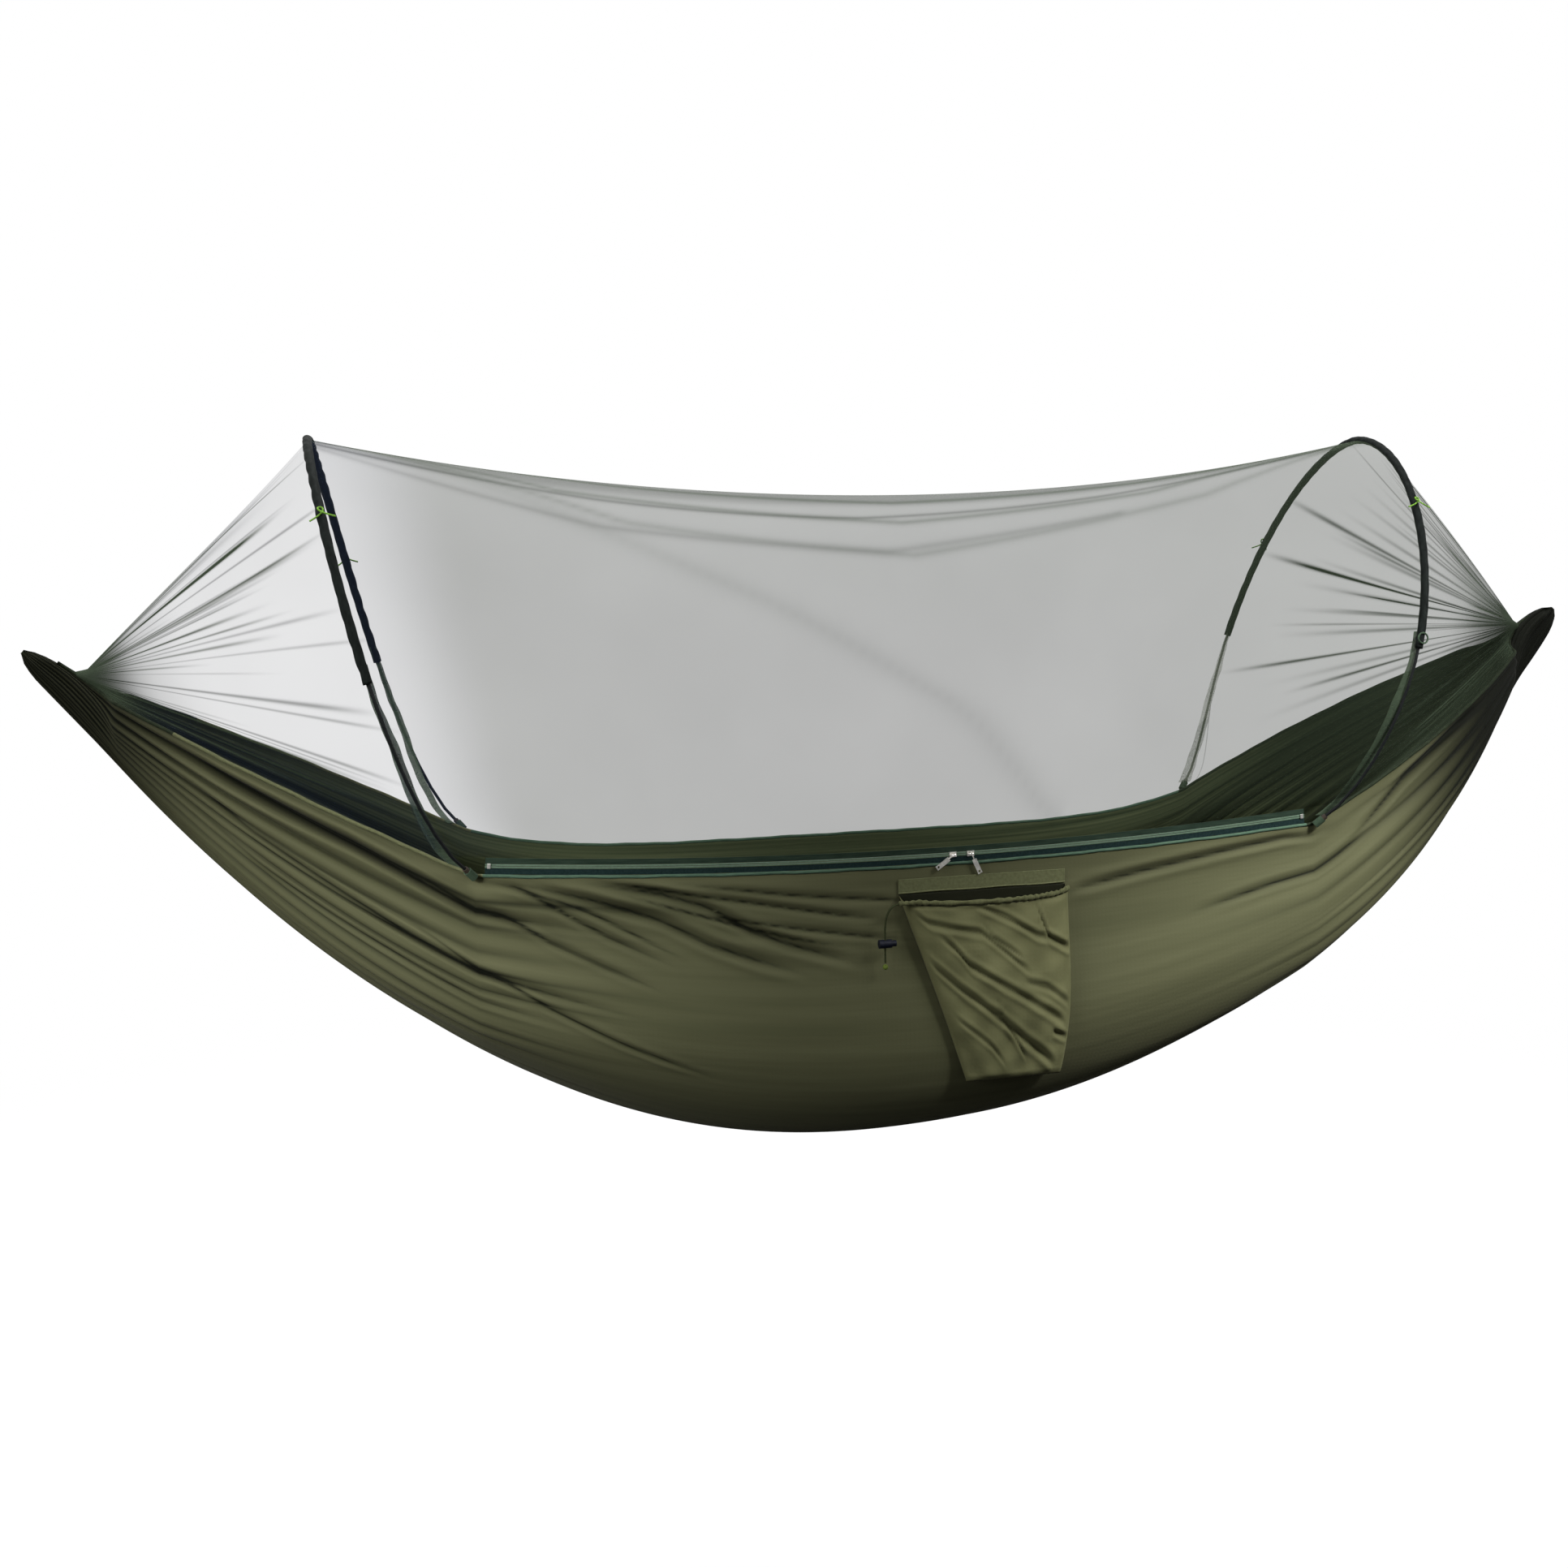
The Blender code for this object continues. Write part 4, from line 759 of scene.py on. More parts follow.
@dataclass
class Bed:
    """The sling of cloth, as two panels that meet at the keel, drawn together at both ends."""
    finishes: Finishes
    columns: int = 276
    rows: int = 176
    thickness: float = 0.001
    flat: Pair = (2.8, 0.62)
    seed: int = 7
    folds: int = 13
    fold_share: float = 0.07
    fold_steps: Pair = (0.55, 1.45)
    fold_heights: Pair = (0.6, 1.3)
    fold_starts: Pair = (0.16, 0.46)
    fold_widths: Pair = (0.6, 1.5)
    fold_delay: float = 0.12
    fold_full: float = 0.8
    fold_power: float = 0.65
    fold_middle: float = 0.6
    # How sharp the painted shade in the fold valleys is, and how soon it comes in.
    valley_power: float = 1.4
    fold_shade_rise: float = 0.3
    drift: float = 0.02
    drift_waves: float = 2.5
    keel_fold: float = 0.55
    keel_reach: Pair = (0.45, 0.9)
    keel_blend: float = 0.05
    rim_blend: float = 0.03
    calm: float = 0.5
    tail_calm: float = 0.4
    tail_blend: float = 0.8
    ripple: float = 0.0007
    ripple_count: int = 10
    ripple_along: Pair = (2, 9)
    ripple_across: Pair = (6, 26)
    ripple_shift: Pair = (0, 6)
    far_count: int = 9
    far_starts: Pair = (0.35, 0.97)
    far_drops: Pair = (0.02, 0.2)
    far_outer: Pair = (0.9, 1.1)
    far_inner: Pair = (0.0, 0.45)
    far_depths: Pair = (0.004, 0.009)
    far_widths: Pair = (0.008, 0.013)
    far_fade: float = 0.2
    end_share: float = 0.90
    neck_x: float = 1.12
    sink_x: float = 0.06
    drawn: float = 0.7
    ring_high: Pair = (0.0175, 0.0335)
    ring_wide: Pair = (0.016, 0.0526)
    end_sizes: Pair = (0.68, 0.95)
    tip_x: float = 1.2475
    tip_z: float = 0.004
    tip_round: float = 0.25
    tip_least: float = 0.004
    bore_x: float = 1.229
    bore_radius: float = 0.006
    bore_clear: Pair = (0.3, 1.25)
    foot_from: float = 0.9
    foot_points: int = 60
    # Painted shade on the drawn-together ends: on the left where it starts, where it is full and how strong;
    # on the right where it starts and where it is full.
    left_end_shade: tuple[float, float, float] = (0.98, 1.18, 0.85)
    right_end_shade: Pair = (0.72, 1.04)
    hem_end: float = 1.165
    # Where the rim roll's painted shade at the left end begins.
    hem_shade_start: float = 1.04
    hem_pocket: float = 0.012
    hem_points: int = 81
    hem_radius: float = LINES.hem + 0.0005
    hem_waves: Rows = ((0.0004, 47, 0), (0.0003, 113, 1))
    sack_x: tuple[float, ...] = (-0.07, -0.03, 0.22, 0.27)
    sack_z: tuple[float, ...] = (-0.70, -0.66, -0.37, -0.35)
    sack_calm: float = 0.9
    left_edges: tuple[float, ...] = (-1.0, -0.925, -0.85, -0.775, -0.715, -0.65, -0.575, -0.5, -0.43,
                                     -0.35, -0.28, -0.2, -0.13, -0.06)
    near_creases: tuple[Crease, ...] = creases(
        (0.012, 0.010, 0.2, -1.1, -0.945, -0.97, -0.92, -0.81, -0.93, -0.61, -0.885, -0.45, -0.86),
        (0.006, 0.007, 0.2, -1.08, -0.83, -0.94, -0.752, -0.79, -0.731, -0.62, -0.702, -0.4, -0.66),
        (0.005, 0.007, 0.2, -1.06, -0.66, -0.93, -0.612, -0.77, -0.62, -0.5, -0.60),
        (0.009, 0.008, 0.12, -0.62, -0.99, -0.48, -0.941, -0.39, -0.901, -0.32, -0.851, -0.26, -0.822,
         -0.16, -0.78),
        (0.009, 0.008, 0.12, -0.52, -0.99, -0.39, -0.96, -0.32, -0.931, -0.26, -0.881, -0.2, -0.851,
         -0.08, -0.80),
        (0.006, 0.006, 0.1, -0.66, -0.99, -0.59, -0.97, -0.52, -0.901, -0.47, -0.861, -0.36, -0.79),
        (0.005, 0.006, 0.1, -0.74, -0.93, -0.61, -0.891, -0.55, -0.832, -0.47, -0.782, -0.38, -0.73),
        (0.004, 0.006, 0.12, -0.76, -0.78, -0.62, -0.703, -0.55, -0.643, -0.46, -0.584, -0.3, -0.5),
        (0.003, 0.005, 0.1, -0.63, -0.985, -0.5, -0.92, -0.42, -0.86, -0.34, -0.80),
        (0.004, 0.005, 0.1, -0.5, -0.995, -0.35, -0.96, -0.26, -0.941, -0.13, -0.911, -0.04, -0.895),
        (0.003, 0.005, 0.1, -0.36, -0.92, -0.17, -0.881, -0.07, -0.861, 0.0, -0.85),
        (0.003, 0.004, 0.1, -0.46, -0.965, -0.3, -0.90, -0.2, -0.865, -0.1, -0.84),
        (0.002, 0.005, 0.15, -0.4, -0.99, -0.2, -0.955, 0.0, -0.93, 0.2, -0.92),
        (0.005, 0.007, 0.12, 0.2, -0.915, 0.35, -0.941, 0.49, -0.96, 0.6, -0.97, 0.7, -0.95),
        (0.003, 0.007, 0.12, 0.42, -0.82, 0.58, -0.841, 0.68, -0.841, 0.8, -0.86),
        (0.006, 0.009, 0.08, 0.7, -0.86, 0.75, -0.881, 0.82, -0.931, 0.93, -0.96, 1.0, -0.97))

    def gathers(self, place: Array, reach: Array, random: Random,
                edges: Sequence[float]) -> tuple[Array, Array]:
        """The folds that fan from one end, as a share of the bed's girth there.

        Args:
            place: Places across the bed, from -1 to 1.
            reach: How near each point is to the end, from 0 at the middle to 1.
            random: The seeded source of each fold's height and length.
            edges: The valleys between the folds, in order across the bed.

        Returns:
            The height of the folds at each point, and how much painted shade it gets in the valleys between
            them.
        """
        edges = np.asarray(edges)
        count = len(edges) - 1
        heights = random.uniform(*self.fold_heights, count)
        starts = random.uniform(*self.fold_starts, count + 1)
        index = np.clip(np.searchsorted(edges, place, side="right") - 1, 0, count - 1)
        gap = edges[index + 1] - edges[index]
        share = np.clip((place - edges[index]) / gap, 0, 1)
        start = starts[index] + (starts[index + 1] - starts[index]) * share
        bulge = np.sin(math.pi * share) ** self.fold_power
        ramp = np.clip((reach - start - self.fold_delay) / (self.fold_full - start), 0, 1)
        wide = np.clip(gap * count / 2, *self.fold_widths)
        rise = (bulge - self.fold_middle) * heights[index] * ramp * wide
        return rise, (1 - bulge) ** self.valley_power * smoothstep(0.0, self.fold_shade_rise, reach - start)

    def edges(self, side: Side, end: End, random: Random) -> Array:
        """The valleys across the bed at one end: read off the photo at the near left, else seeded.

        Args:
            side: The side of the bed.
            end: The end of the bed.
            random: The seeded source.

        Returns:
            Where the valleys are, in order across the bed.
        """
        steps = np.cumsum(random.uniform(*self.fold_steps, self.folds))
        seeded = np.concatenate([[0.0], steps / steps[-1]])
        if side == Side.FAR:
            return seeded
        return np.array((*self.left_edges, 0.0)) if end == End.LEFT else -seeded[::-1]

    def end_ring(self, share: Array, across: Array, end: Array) -> tuple[Array, Array]:
        """The drawn-together end: rings round a line that rises to the rope's bore.

        Args:
            share: How far along the end each point is, from 0 to 1.
            across: Where it is round the ring: 0 below, -1 and 1 above.
            end: The end's sign for each point.

        Returns:
            The places and the outward directions.
        """
        neck = np.array(self.neck_x)
        low = (LINES.rim(neck, Side.NEAR) + LINES.keel(neck)) / 2
        run, climb = self.tip_x - self.neck_x, self.tip_z - low
        centre_x = self.neck_x + run * share
        centre_z = low + climb * share
        slope, level = climb / np.hypot(climb, run), run / np.hypot(climb, run)
        past = np.clip(share - (1 - self.tip_round), 0, None) / self.tip_round
        tip = np.sqrt(np.clip(1 - past ** 2, self.tip_least, 1))
        tip *= np.where(end == End.LEFT, *self.end_sizes)
        high = (self.ring_high[0] + self.ring_high[1] * (1 - share)) * tip
        wide = (self.ring_wide[0] + self.ring_wide[1] * (1 - share) ** 2) * tip
        turn = across * math.pi
        up, out = -np.cos(turn), np.sin(turn)
        x = centre_x - slope * up * high
        places = np.stack([end * x, out * wide, centre_z + level * up * high], axis=-1)
        return places, np.stack([-end * slope * up, out, level * up], axis=-1)

    def smooth(self, x: Array, tail: Array, across: Array) -> tuple[Array, Array]:
        """Places and outward directions on the cloth before it is folded.

        Args:
            x: Places along the bed.
            tail: How far into the drawn-together end each point is, from 0 to 1.
            across: Places across the bed, from -1 at the near rim to 1 at the far rim.

        Returns:
            The places and the outward directions.
        """
        step = 1e-4
        here = LINES.bed(x, across)
        along = LINES.bed(x + step, across) - LINES.bed(x - step, across)
        low, high = np.clip(across - step, -1, 1), np.clip(across + step, -1, 1)
        outward = unit(np.cross(LINES.bed(x, high) - LINES.bed(x, low), along))
        ring, ring_out = self.end_ring(tail, across, np.sign(x))
        drawn = smoothstep(0.0, self.drawn, tail)[:, None]
        return here * (1 - drawn) + ring * drawn, outward * (1 - drawn) + ring_out * drawn

    def edge(self, x: Array, side: Side) -> Array:
        """The drawn-together rim.

        Args:
            x: Places along the rim before it is drawn together.
            side: Which rim.

        Returns:
            The places in space.
        """
        tail = np.clip((np.abs(x) - self.neck_x) / self.sink_x, 0, 1)
        line = self.smooth(x, tail, np.full_like(x, side))[0]
        line[:, 2] += LINES.hem_gap * LINES.stretch
        return line

    def foot(self, x: Array, side: Side) -> tuple[Array, Array]:
        """The drawn-together rim straight below each x.

        Args:
            x: Places along the bed.
            side: Which rim.

        Returns:
            The rim's y and z at each of them.
        """
        table = np.linspace(self.foot_from, self.neck_x + self.sink_x, self.foot_points)
        y, z = side * LINES.width(x), LINES.rim(x, side)
        for end in End:
            line = self.edge(end * table, side)
            beyond = end * x > table[0]
            y = np.where(beyond, np.interp(end * x, end * line[:, 0], line[:, 1]), y)
            z = np.where(beyond, np.interp(end * x, end * line[:, 0], line[:, 2]), z)
        return y, z + LINES.hem_gap

    def relief(self, x: Array, tail: Array, across: Array, side: Side) -> tuple[Array, Array]:
        """The folds, creases and ripples of one half of the bed.

        Args:
            x: Places along the bed.
            tail: How far into the drawn-together end each point is, from 0 to 1.
            across: Places across the bed.
            side: Which half.

        Returns:
            How far each point rises, and how much painted shade it gets: in folds and creases, and at the
            ends.
        """
        girth = LINES.width(x) + (LINES.rim(x, side) - LINES.keel(x))
        random = np.random.default_rng(self.seed + side)
        # rise is the cloth's height; valley gathers the painted shade of folds, creases and ends.
        rise, valley = np.zeros_like(x), np.zeros_like(x)
        reach = np.abs(x) / LINES.half_length
        drift = self.drift * np.sin(self.drift_waves * math.pi * across) * np.clip(1 - reach, 0, 1)
        place = np.clip(across + drift * (1 - np.abs(across)), -1, 1)
        for end in End:
            height, dark = self.gathers(place, reach, random, self.edges(side, end, random))
            if side == Side.NEAR and end == End.RIGHT:
                height, dark = self.calm * height, self.calm * dark
            shrink = self.fold_share * girth * (1 - self.tail_calm * smoothstep(0, self.tail_blend, tail))
            mine = np.sign(x) == end
            rise += np.where(mine, height * shrink, 0)
            valley += np.where(mine, dark, 0)
        for crease in (self.near_creases if side == Side.NEAR else self.far_creases(random)):
            height, dark = crease.sink(x, across, girth)
            rise += height
            valley += dark
        rise += self.ripples(x, across, random)
        keel = -self.keel_fold * self.fold_share * np.abs(LINES.keel(x)) * smoothstep(*self.keel_reach, reach)
        apart = smoothstep(0.0, self.keel_blend, np.abs(across))
        return rise * apart + keel * (1 - apart), np.clip(valley + self.painted_end_shade(x), 0, 1)

    def panel(self, name: str, side: Side) -> Object:
        """One half of the bed, from the keel to its rim, folded and creased.

        Args:
            name: The piece's name.
            side: Which half.

        Returns:
            The finished sheet.
        """
        sheet = Panel(name, self.columns, self.rows)
        x = np.clip(sheet.u / self.end_share, -1, 1) * self.neck_x
        tail = np.clip((np.abs(sheet.u) - self.end_share) / (1 - self.end_share), 0, 1)
        x += np.sign(x) * self.sink_x * tail
        across = (sheet.v + side) / 2
        here, outward = self.smooth(x, tail, across)
        rise, valley = self.relief(x, tail, across, side)
        edge = smoothstep(0.0, self.rim_blend, 1 - np.abs(across))
        rise *= edge * (1 - self.sack_calm * self.under_sack(here, side))
        places = here + outward * rise[:, None]
        bore = np.hypot(np.abs(places[:, 0]) - self.bore_x, places[:, 2])
        inner, outer = self.bore_clear
        places[:, 1] *= smoothstep(inner * self.bore_radius, outer * self.bore_radius, bore)
        sheet.move(places)
        sheet.obj.data.flip_normals()
        # The painted shade of the folds, creases and ends, for the folded finishes.
        sheet.attribute("valley", valley)
        sheet.obj.data.materials.append(self.finishes.bed)
        sheet.obj.data.materials.append(self.finishes.inside)
        thicken(sheet.obj, self.thickness).material_offset = 1
        return sheet.obj

    def painted_end_shade(self, x: Array) -> Array:
        """Painted shade on the drawn-together ends, added to the valley attribute: the right one is nearly
        black.
        """
        low, high, most = self.left_end_shade
        return np.where(x < 0, most * smoothstep(low, high, -x), smoothstep(*self.right_end_shade, x))

    def under_sack(self, places: Array, side: Side) -> Array:
        """Where the sack lies on the bed, and the cloth stays smooth.

        Args:
            places: Places on the bed.
            side: Which half they are on.

        Returns:
            1 under the sack and 0 elsewhere.
        """
        if side == Side.FAR:
            return np.zeros(len(places))
        x, z = places[:, 0], places[:, 2]
        inside = smoothstep(*self.sack_x[:2], x) * (1 - smoothstep(*self.sack_x[2:], x))
        return inside * smoothstep(*self.sack_z[:2], z) * (1 - smoothstep(*self.sack_z[2:], z))

    def far_creases(self, random: Random) -> tuple[Crease, ...]:
        """Long straight folds on the far side, from both ends towards the middle.

        Args:
            random: The seeded source.

        Returns:
            The creases.
        """
        made = []
        for end in End:
            for _ in range(self.far_count):
                start = random.uniform(*self.far_starts)
                stop = start - random.uniform(*self.far_drops)
                outer, inner = random.uniform(*self.far_outer), random.uniform(*self.far_inner)
                path = ((end * inner, stop), (end * outer, start))
                made.append(Crease(tuple(sorted(path)), random.uniform(*self.far_depths),
                                   random.uniform(*self.far_widths), self.far_fade))
        return tuple(made)

    def ripples(self, x: Array, across: Array, random: Random) -> Array:
        """Low uneven waves all over the cloth.

        Args:
            x: Places along the bed.
            across: Places across the bed.
            random: The seeded source.

        Returns:
            The height at each point.
        """
        total = np.zeros_like(x)
        for _ in range(self.ripple_count):
            total += self.ripple * np.sin(random.uniform(*self.ripple_along) * x
                                          + random.uniform(*self.ripple_across) * across
                                          + random.uniform(*self.ripple_shift))
        return total

    def build(self) -> None:
        """Make and dress the bed: on each side its cloth, and the rolled hem in four parts."""
        nodes = {Side.NEAR: ("near_rim_band", "bed_near_side", "hammock_bed", "left_hem_channel"),
                 Side.FAR: ("bed_far_side", "right_hem_channel")}
        # The end parts of the rim roll are painted near-black as shade.
        parts = (("left_end", self.finishes.shaded_rim_roll), ("left", self.finishes.piping),
                 ("middle", self.finishes.green_hem), ("right", self.finishes.shaded_rim_roll))
        feet = LINES.foot_x - self.hem_pocket
        stops = (-self.hem_end, -self.hem_shade_start, -feet, feet, self.hem_end)
        for side in Side:
            word = side.name.lower()
            made = self.panel(f"{word}_bed_cloth", side)
            declare(made, "hammock", "olive_nylon", *nodes[side])
            for (part, finish), start, stop in zip(parts, stops, stops[1:]):
                x = np.linspace(start, stop, self.hem_points)
                line = self.edge(x, side)
                line[:, 2] += waves(x, self.hem_waves)
                roll = tube(f"{word}_rim_roll_{part}", line, self.hem_radius, finish)
                declare(roll, "hammock", "dark_olive_hem", f"{word}_rim_hem")


# Nets.

@dataclass(frozen=True)
class NetFold:
    """A dense line in a net panel, through points in the panel's own two directions."""
    path: Path
    weight: float
    width: float
    power: float = 1.5

    def weigh(self, u: Array, v: Array) -> Array:
        """How much denser each point is.

        Args:
            u: The points' places along the panel.
            v: Their places across it.

        Returns:
            The added density.
        """
        start, stop, line = follow(self.path, u)
        inside = (u >= start) & (u <= stop)
        return self.weight * np.exp(-np.abs((v - line) / self.width) ** self.power) * inside


@dataclass
class Nets:
    """The net tunnel between the hoops and the two tapering end nets."""
    finishes: Finishes
    bed: Bed
    middle_grid: tuple[int, int] = (90, 460)
    end_grid: tuple[int, int] = (56, 760)
    middle_flat: Pair = (1.7, 1.5)
    end_flat: Pair = (0.5, 1.2)
    end_area: float = 0.38
    folded_height: float = 0.18
    density: float = 0.33
    pale_density: float = 0.12
    pale_more: float = 0.05
    middle_pale: float = 0.78
    end_pale: Pair = (0.6, 0.95)
    ridge_sag: float = 0.088
    fold_height: float = 0.006
    fold_rate: float = 6
    end_waves: float = 10
    line_dark: float = 3
    crown_line: Pair = (0.012, 0.25)
    offset: float = -0.001
    edge_blend: float = 0.30
    foot_height: float = 0.016
    apex_inset: float = 0.025
    apex_rise: float = 0.018
    apex_half: float = 0.004
    apex_share: float = 0.93
    apex_line: float = 0.6
    apex_reach: Pair = (0.8, 1.0)
    point: Pair = (1.19, -0.028)
    seed: int = 21
    fan_lines: int = 46
    fan_places: Pair = (0.02, 0.98)
    fan_starts: Pair = (-0.1, 0.6)
    fan_widths: Pair = (0.0013, 0.003)
    fan_taper: Pair = (1.3, 0.5)
    fan_grow: float = 0.3
    fan_weights: Pair = (0.25, 0.65)
    band_reach: Pair = (0.15, 0.7)
    left_bands: Rows = ((0.5, 0.03, 0.5), (0.42, 0.03, 0.35), (0.57, 0.012, 0.3))
    right_bands: Rows = (
        (0.29, 0.07, 0.4), (0.2, 0.015, 0.25), (0.5, 0.01, 0.3), (0.54, 0.004, 0.4),
        (0.57, 0.005, 0.4), (0.6, 0.004, 0.4), (0.83, 0.005, 0.45), (0.79, 0.004, 0.5),
        (0.75, 0.005, 0.45), (0.71, 0.004, 0.5), (0.67, 0.005, 0.4), (0.63, 0.004, 0.4),
        (0.9, 0.004, 0.3), (0.94, 0.005, 0.3))
    middle_folds: tuple[NetFold, ...] = (
        NetFold(((-1.0, 0.0), (-0.5, -0.13), (0.0, -0.18), (0.5, -0.13), (1.0, 0.0)), 0.4, 0.012),
        NetFold(((-1.0, -0.02), (-0.6, -0.2), (0.0, -0.27), (0.5, -0.2), (1.0, -0.02)), 0.3, 0.010),
        NetFold(((-0.95, -0.06), (-0.5, -0.3), (0.0, -0.38), (0.6, -0.24), (1.0, -0.05)), 0.18, 0.012),
        NetFold(((-1.0, 0.03), (-0.5, 0.12), (0.0, 0.17), (0.5, 0.12), (1.0, 0.03)), 0.3, 0.012),
        NetFold(((-1.0, 0.06), (-0.5, 0.26), (0.1, 0.34), (0.6, 0.24)), 0.16, 0.014),
        NetFold(((-0.95, -0.05), (-0.3, -0.5), (0.3, -0.95)), 0.09, 0.03))

    def settle(self, places: Array, share: Array, low: Array, near: Array, zipped: bool) -> Array:
        """Draw the lowest points of a net on to the rims.

        Args:
            places: Points on the free net.
            share: How high each point is on the hoop, from 0 to 1.
            low: The share at which the net starts there.
            near: Whether each point is on the near half.
            zipped: Whether the near edge is sewn to the zip.

        Returns:
            The moved points.
        """
        weight = np.clip(1 - (share - low) / self.edge_blend, 0, 1) ** 2
        x = places[:, 0]
        near_rim = LINES.zip_edge(x) if zipped else self.bed.foot(x, Side.NEAR)
        moved = places.copy()
        for axis, on_near, on_far in zip((1, 2), near_rim, self.bed.foot(x, Side.FAR)):
            moved[:, axis] += (np.where(near, on_near, on_far) - places[:, axis]) * weight
        return moved

    def seam(self, end: End, side: Side, height: Array) -> Array:
        """The line where the nets meet beside a hoop's leg.

        Args:
            end: The hoop's end of the bed.
            side: The leg's side.
            height: Heights above the feet.

        Returns:
            Places on the line.
        """
        angle = np.array([LINES.near_angle(float(value)) for value in height])
        leg = LINES.hoop(end, angle if side == Side.NEAR else math.pi - angle)
        low = np.full_like(height, self.foot_height / LINES.hoop_height)
        return self.settle(leg, height / LINES.hoop_height, low, np.full(len(leg), side == Side.NEAR),
                           False)

    def fill(self, sheet: Panel, lines: Array, pale: Array, pale_density: float) -> Object:
        """Store how dense and how pale a net is.

        Args:
            sheet: The net's panel.
            lines: The density that the folds add to each point.
            pale: How pale each point is, from 0 to 1.
            pale_density: The density where it is palest.

        Returns:
            The net.
        """
        density = self.density + (pale_density - self.density) * pale
        sheet.attribute("net_fill", density + lines)
        sheet.attribute("net_pale", pale * (1 - np.clip(self.line_dark * lines, 0, 1)))
        return sheet.obj

    def middle(self) -> Object:
        """The tunnel of net, with its sagging ridge and its long folds.

        Returns:
            The net.
        """
        sheet = Panel("net_middle_mesh", *self.middle_grid)
        zip_low = self.foot_height + LINES.zip_top
        first, last = LINES.near_angle(zip_low), math.pi - LINES.near_angle(self.foot_height)
        angle = first + (last - first) * (sheet.v + 1) / 2
        corner = LINES.hoop(End.RIGHT, angle)
        share = (corner[:, 2] - LINES.foot_z) / LINES.hoop_height
        x = sheet.u * (corner[:, 0] - self.offset)
        sag = self.ridge_sag * share ** 2 * (1 - sheet.u ** 2)
        fold = self.fold_height * np.sin(self.fold_rate * angle) * (1 - sheet.u ** 2) * share
        places = np.stack([x, corner[:, 1], corner[:, 2] - sag + fold], axis=-1)
        low = np.where(sheet.v < 0, zip_low, self.foot_height) / LINES.hoop_height
        sheet.move(self.settle(places, share, low, sheet.v < 0, True))
        lines = np.zeros_like(x)
        for net_fold in self.middle_folds:
            lines += net_fold.weigh(sheet.u, sheet.v)
        width, weight = self.crown_line
        lines += weight * peak(share, 1, width)
        pale = smoothstep(self.middle_pale, 1.0, -sheet.u)
        return self.fill(sheet, lines, pale, self.pale_density + self.pale_more)

    def end(self, name: str, end: End) -> Object:
        """The net between a hoop and the bed's end, with folds that meet there.

        Args:
            name: The piece's name.
            end: The end of the bed.

        Returns:
            The net.
        """
        sheet = Panel(name, *self.end_grid)
        whole, around = (sheet.u + 1) / 2, (sheet.v + 1) / 2
        reach = np.clip(whole / self.apex_share, 0, 1)
        first = LINES.near_angle(self.foot_height)
        hoop = LINES.hoop(end, first + (math.pi - 2 * first) * around)
        start = hoop + np.array([end * self.offset, 0, 0])
        turn = math.pi * around
        apex = np.full_like(reach, end * (LINES.bed_end - self.apex_inset))
        y_foot, z_foot = self.bed.foot(apex, Side.NEAR)
        finish = np.stack([apex, (y_foot - self.apex_half) * np.cos(turn),
                           z_foot + self.apex_rise * np.sin(turn)], axis=-1)
        places = start + (finish - start) * reach[:, None]
        wave = np.cos(self.end_waves * math.pi * around) * np.sin(turn)
        outward = np.stack([np.zeros_like(turn), -np.cos(turn), np.sin(turn)], axis=-1)
        places += outward * (self.fold_height * wave * 4 * reach * (1 - reach))[:, None]
        share = (hoop[:, 2] - LINES.foot_z) / LINES.hoop_height
        low = np.full_like(share, self.foot_height / LINES.hoop_height)
        places = self.settle(places, share, low, around < 0.5, False)
        closing = np.clip((whole - self.apex_share) / (1 - self.apex_share), 0, 1)[:, None]
        places += (np.array([end * self.point[0], 0, self.point[1]]) - places) * closing
        sheet.move(places)
        pale = 1 - smoothstep(*self.end_pale, reach) if end == End.LEFT else 0.0 * reach
        return self.fill(sheet, self.fan(end, around, reach), pale, self.pale_density)

    def fan(self, end: End, around: Array, reach: Array) -> Array:
        """The folds of an end net, which meet at the bed's end.

        Args:
            end: The end of the bed.
            around: Places round the hoop, from 0 at its near foot to 1.
            reach: Places from the hoop at 0 to the bed's end at 1.

        Returns:
            The density that they add to each point.
        """
        lines = np.zeros_like(reach)
        random = np.random.default_rng(self.seed + end)
        wide, narrowing = self.fan_taper
        for _ in range(self.fan_lines):
            line = random.uniform(*self.fan_places)
            begin = random.uniform(*self.fan_starts)
            width = random.uniform(*self.fan_widths) * (wide - narrowing * reach)
            grow = smoothstep(begin, begin + self.fan_grow, reach)
            lines += random.uniform(*self.fan_weights) * grow * peak(around, line, width)
        for line, width, weight in self.left_bands if end == End.LEFT else self.right_bands:
            lines += weight * peak(around, line, width) * smoothstep(*self.band_reach, reach)
        lines += self.apex_line * smoothstep(*self.apex_reach, reach)
        return lines

    def dress(self, made: Object, node: str) -> None:
        """Finish a net with its own mesh and the net finish, and attach it to the hammock.

        Args:
            made: The net.
            node: The CAD node that it replaces.
        """
        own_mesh(made)
        made.data.materials.append(self.finishes.net)
        declare(made, "hammock", "grey_net", node)

    def build(self) -> None:
        """Make and dress the three nets; the end nets' lowest points lie on the sloping rims."""
        made = self.middle()
        self.dress(made, "net_middle")
        for end in End:
            word = end.name.lower()
            made = self.end(f"net_{word}_mesh", end)
            self.dress(made, f"net_{word}_end")


# Sack.

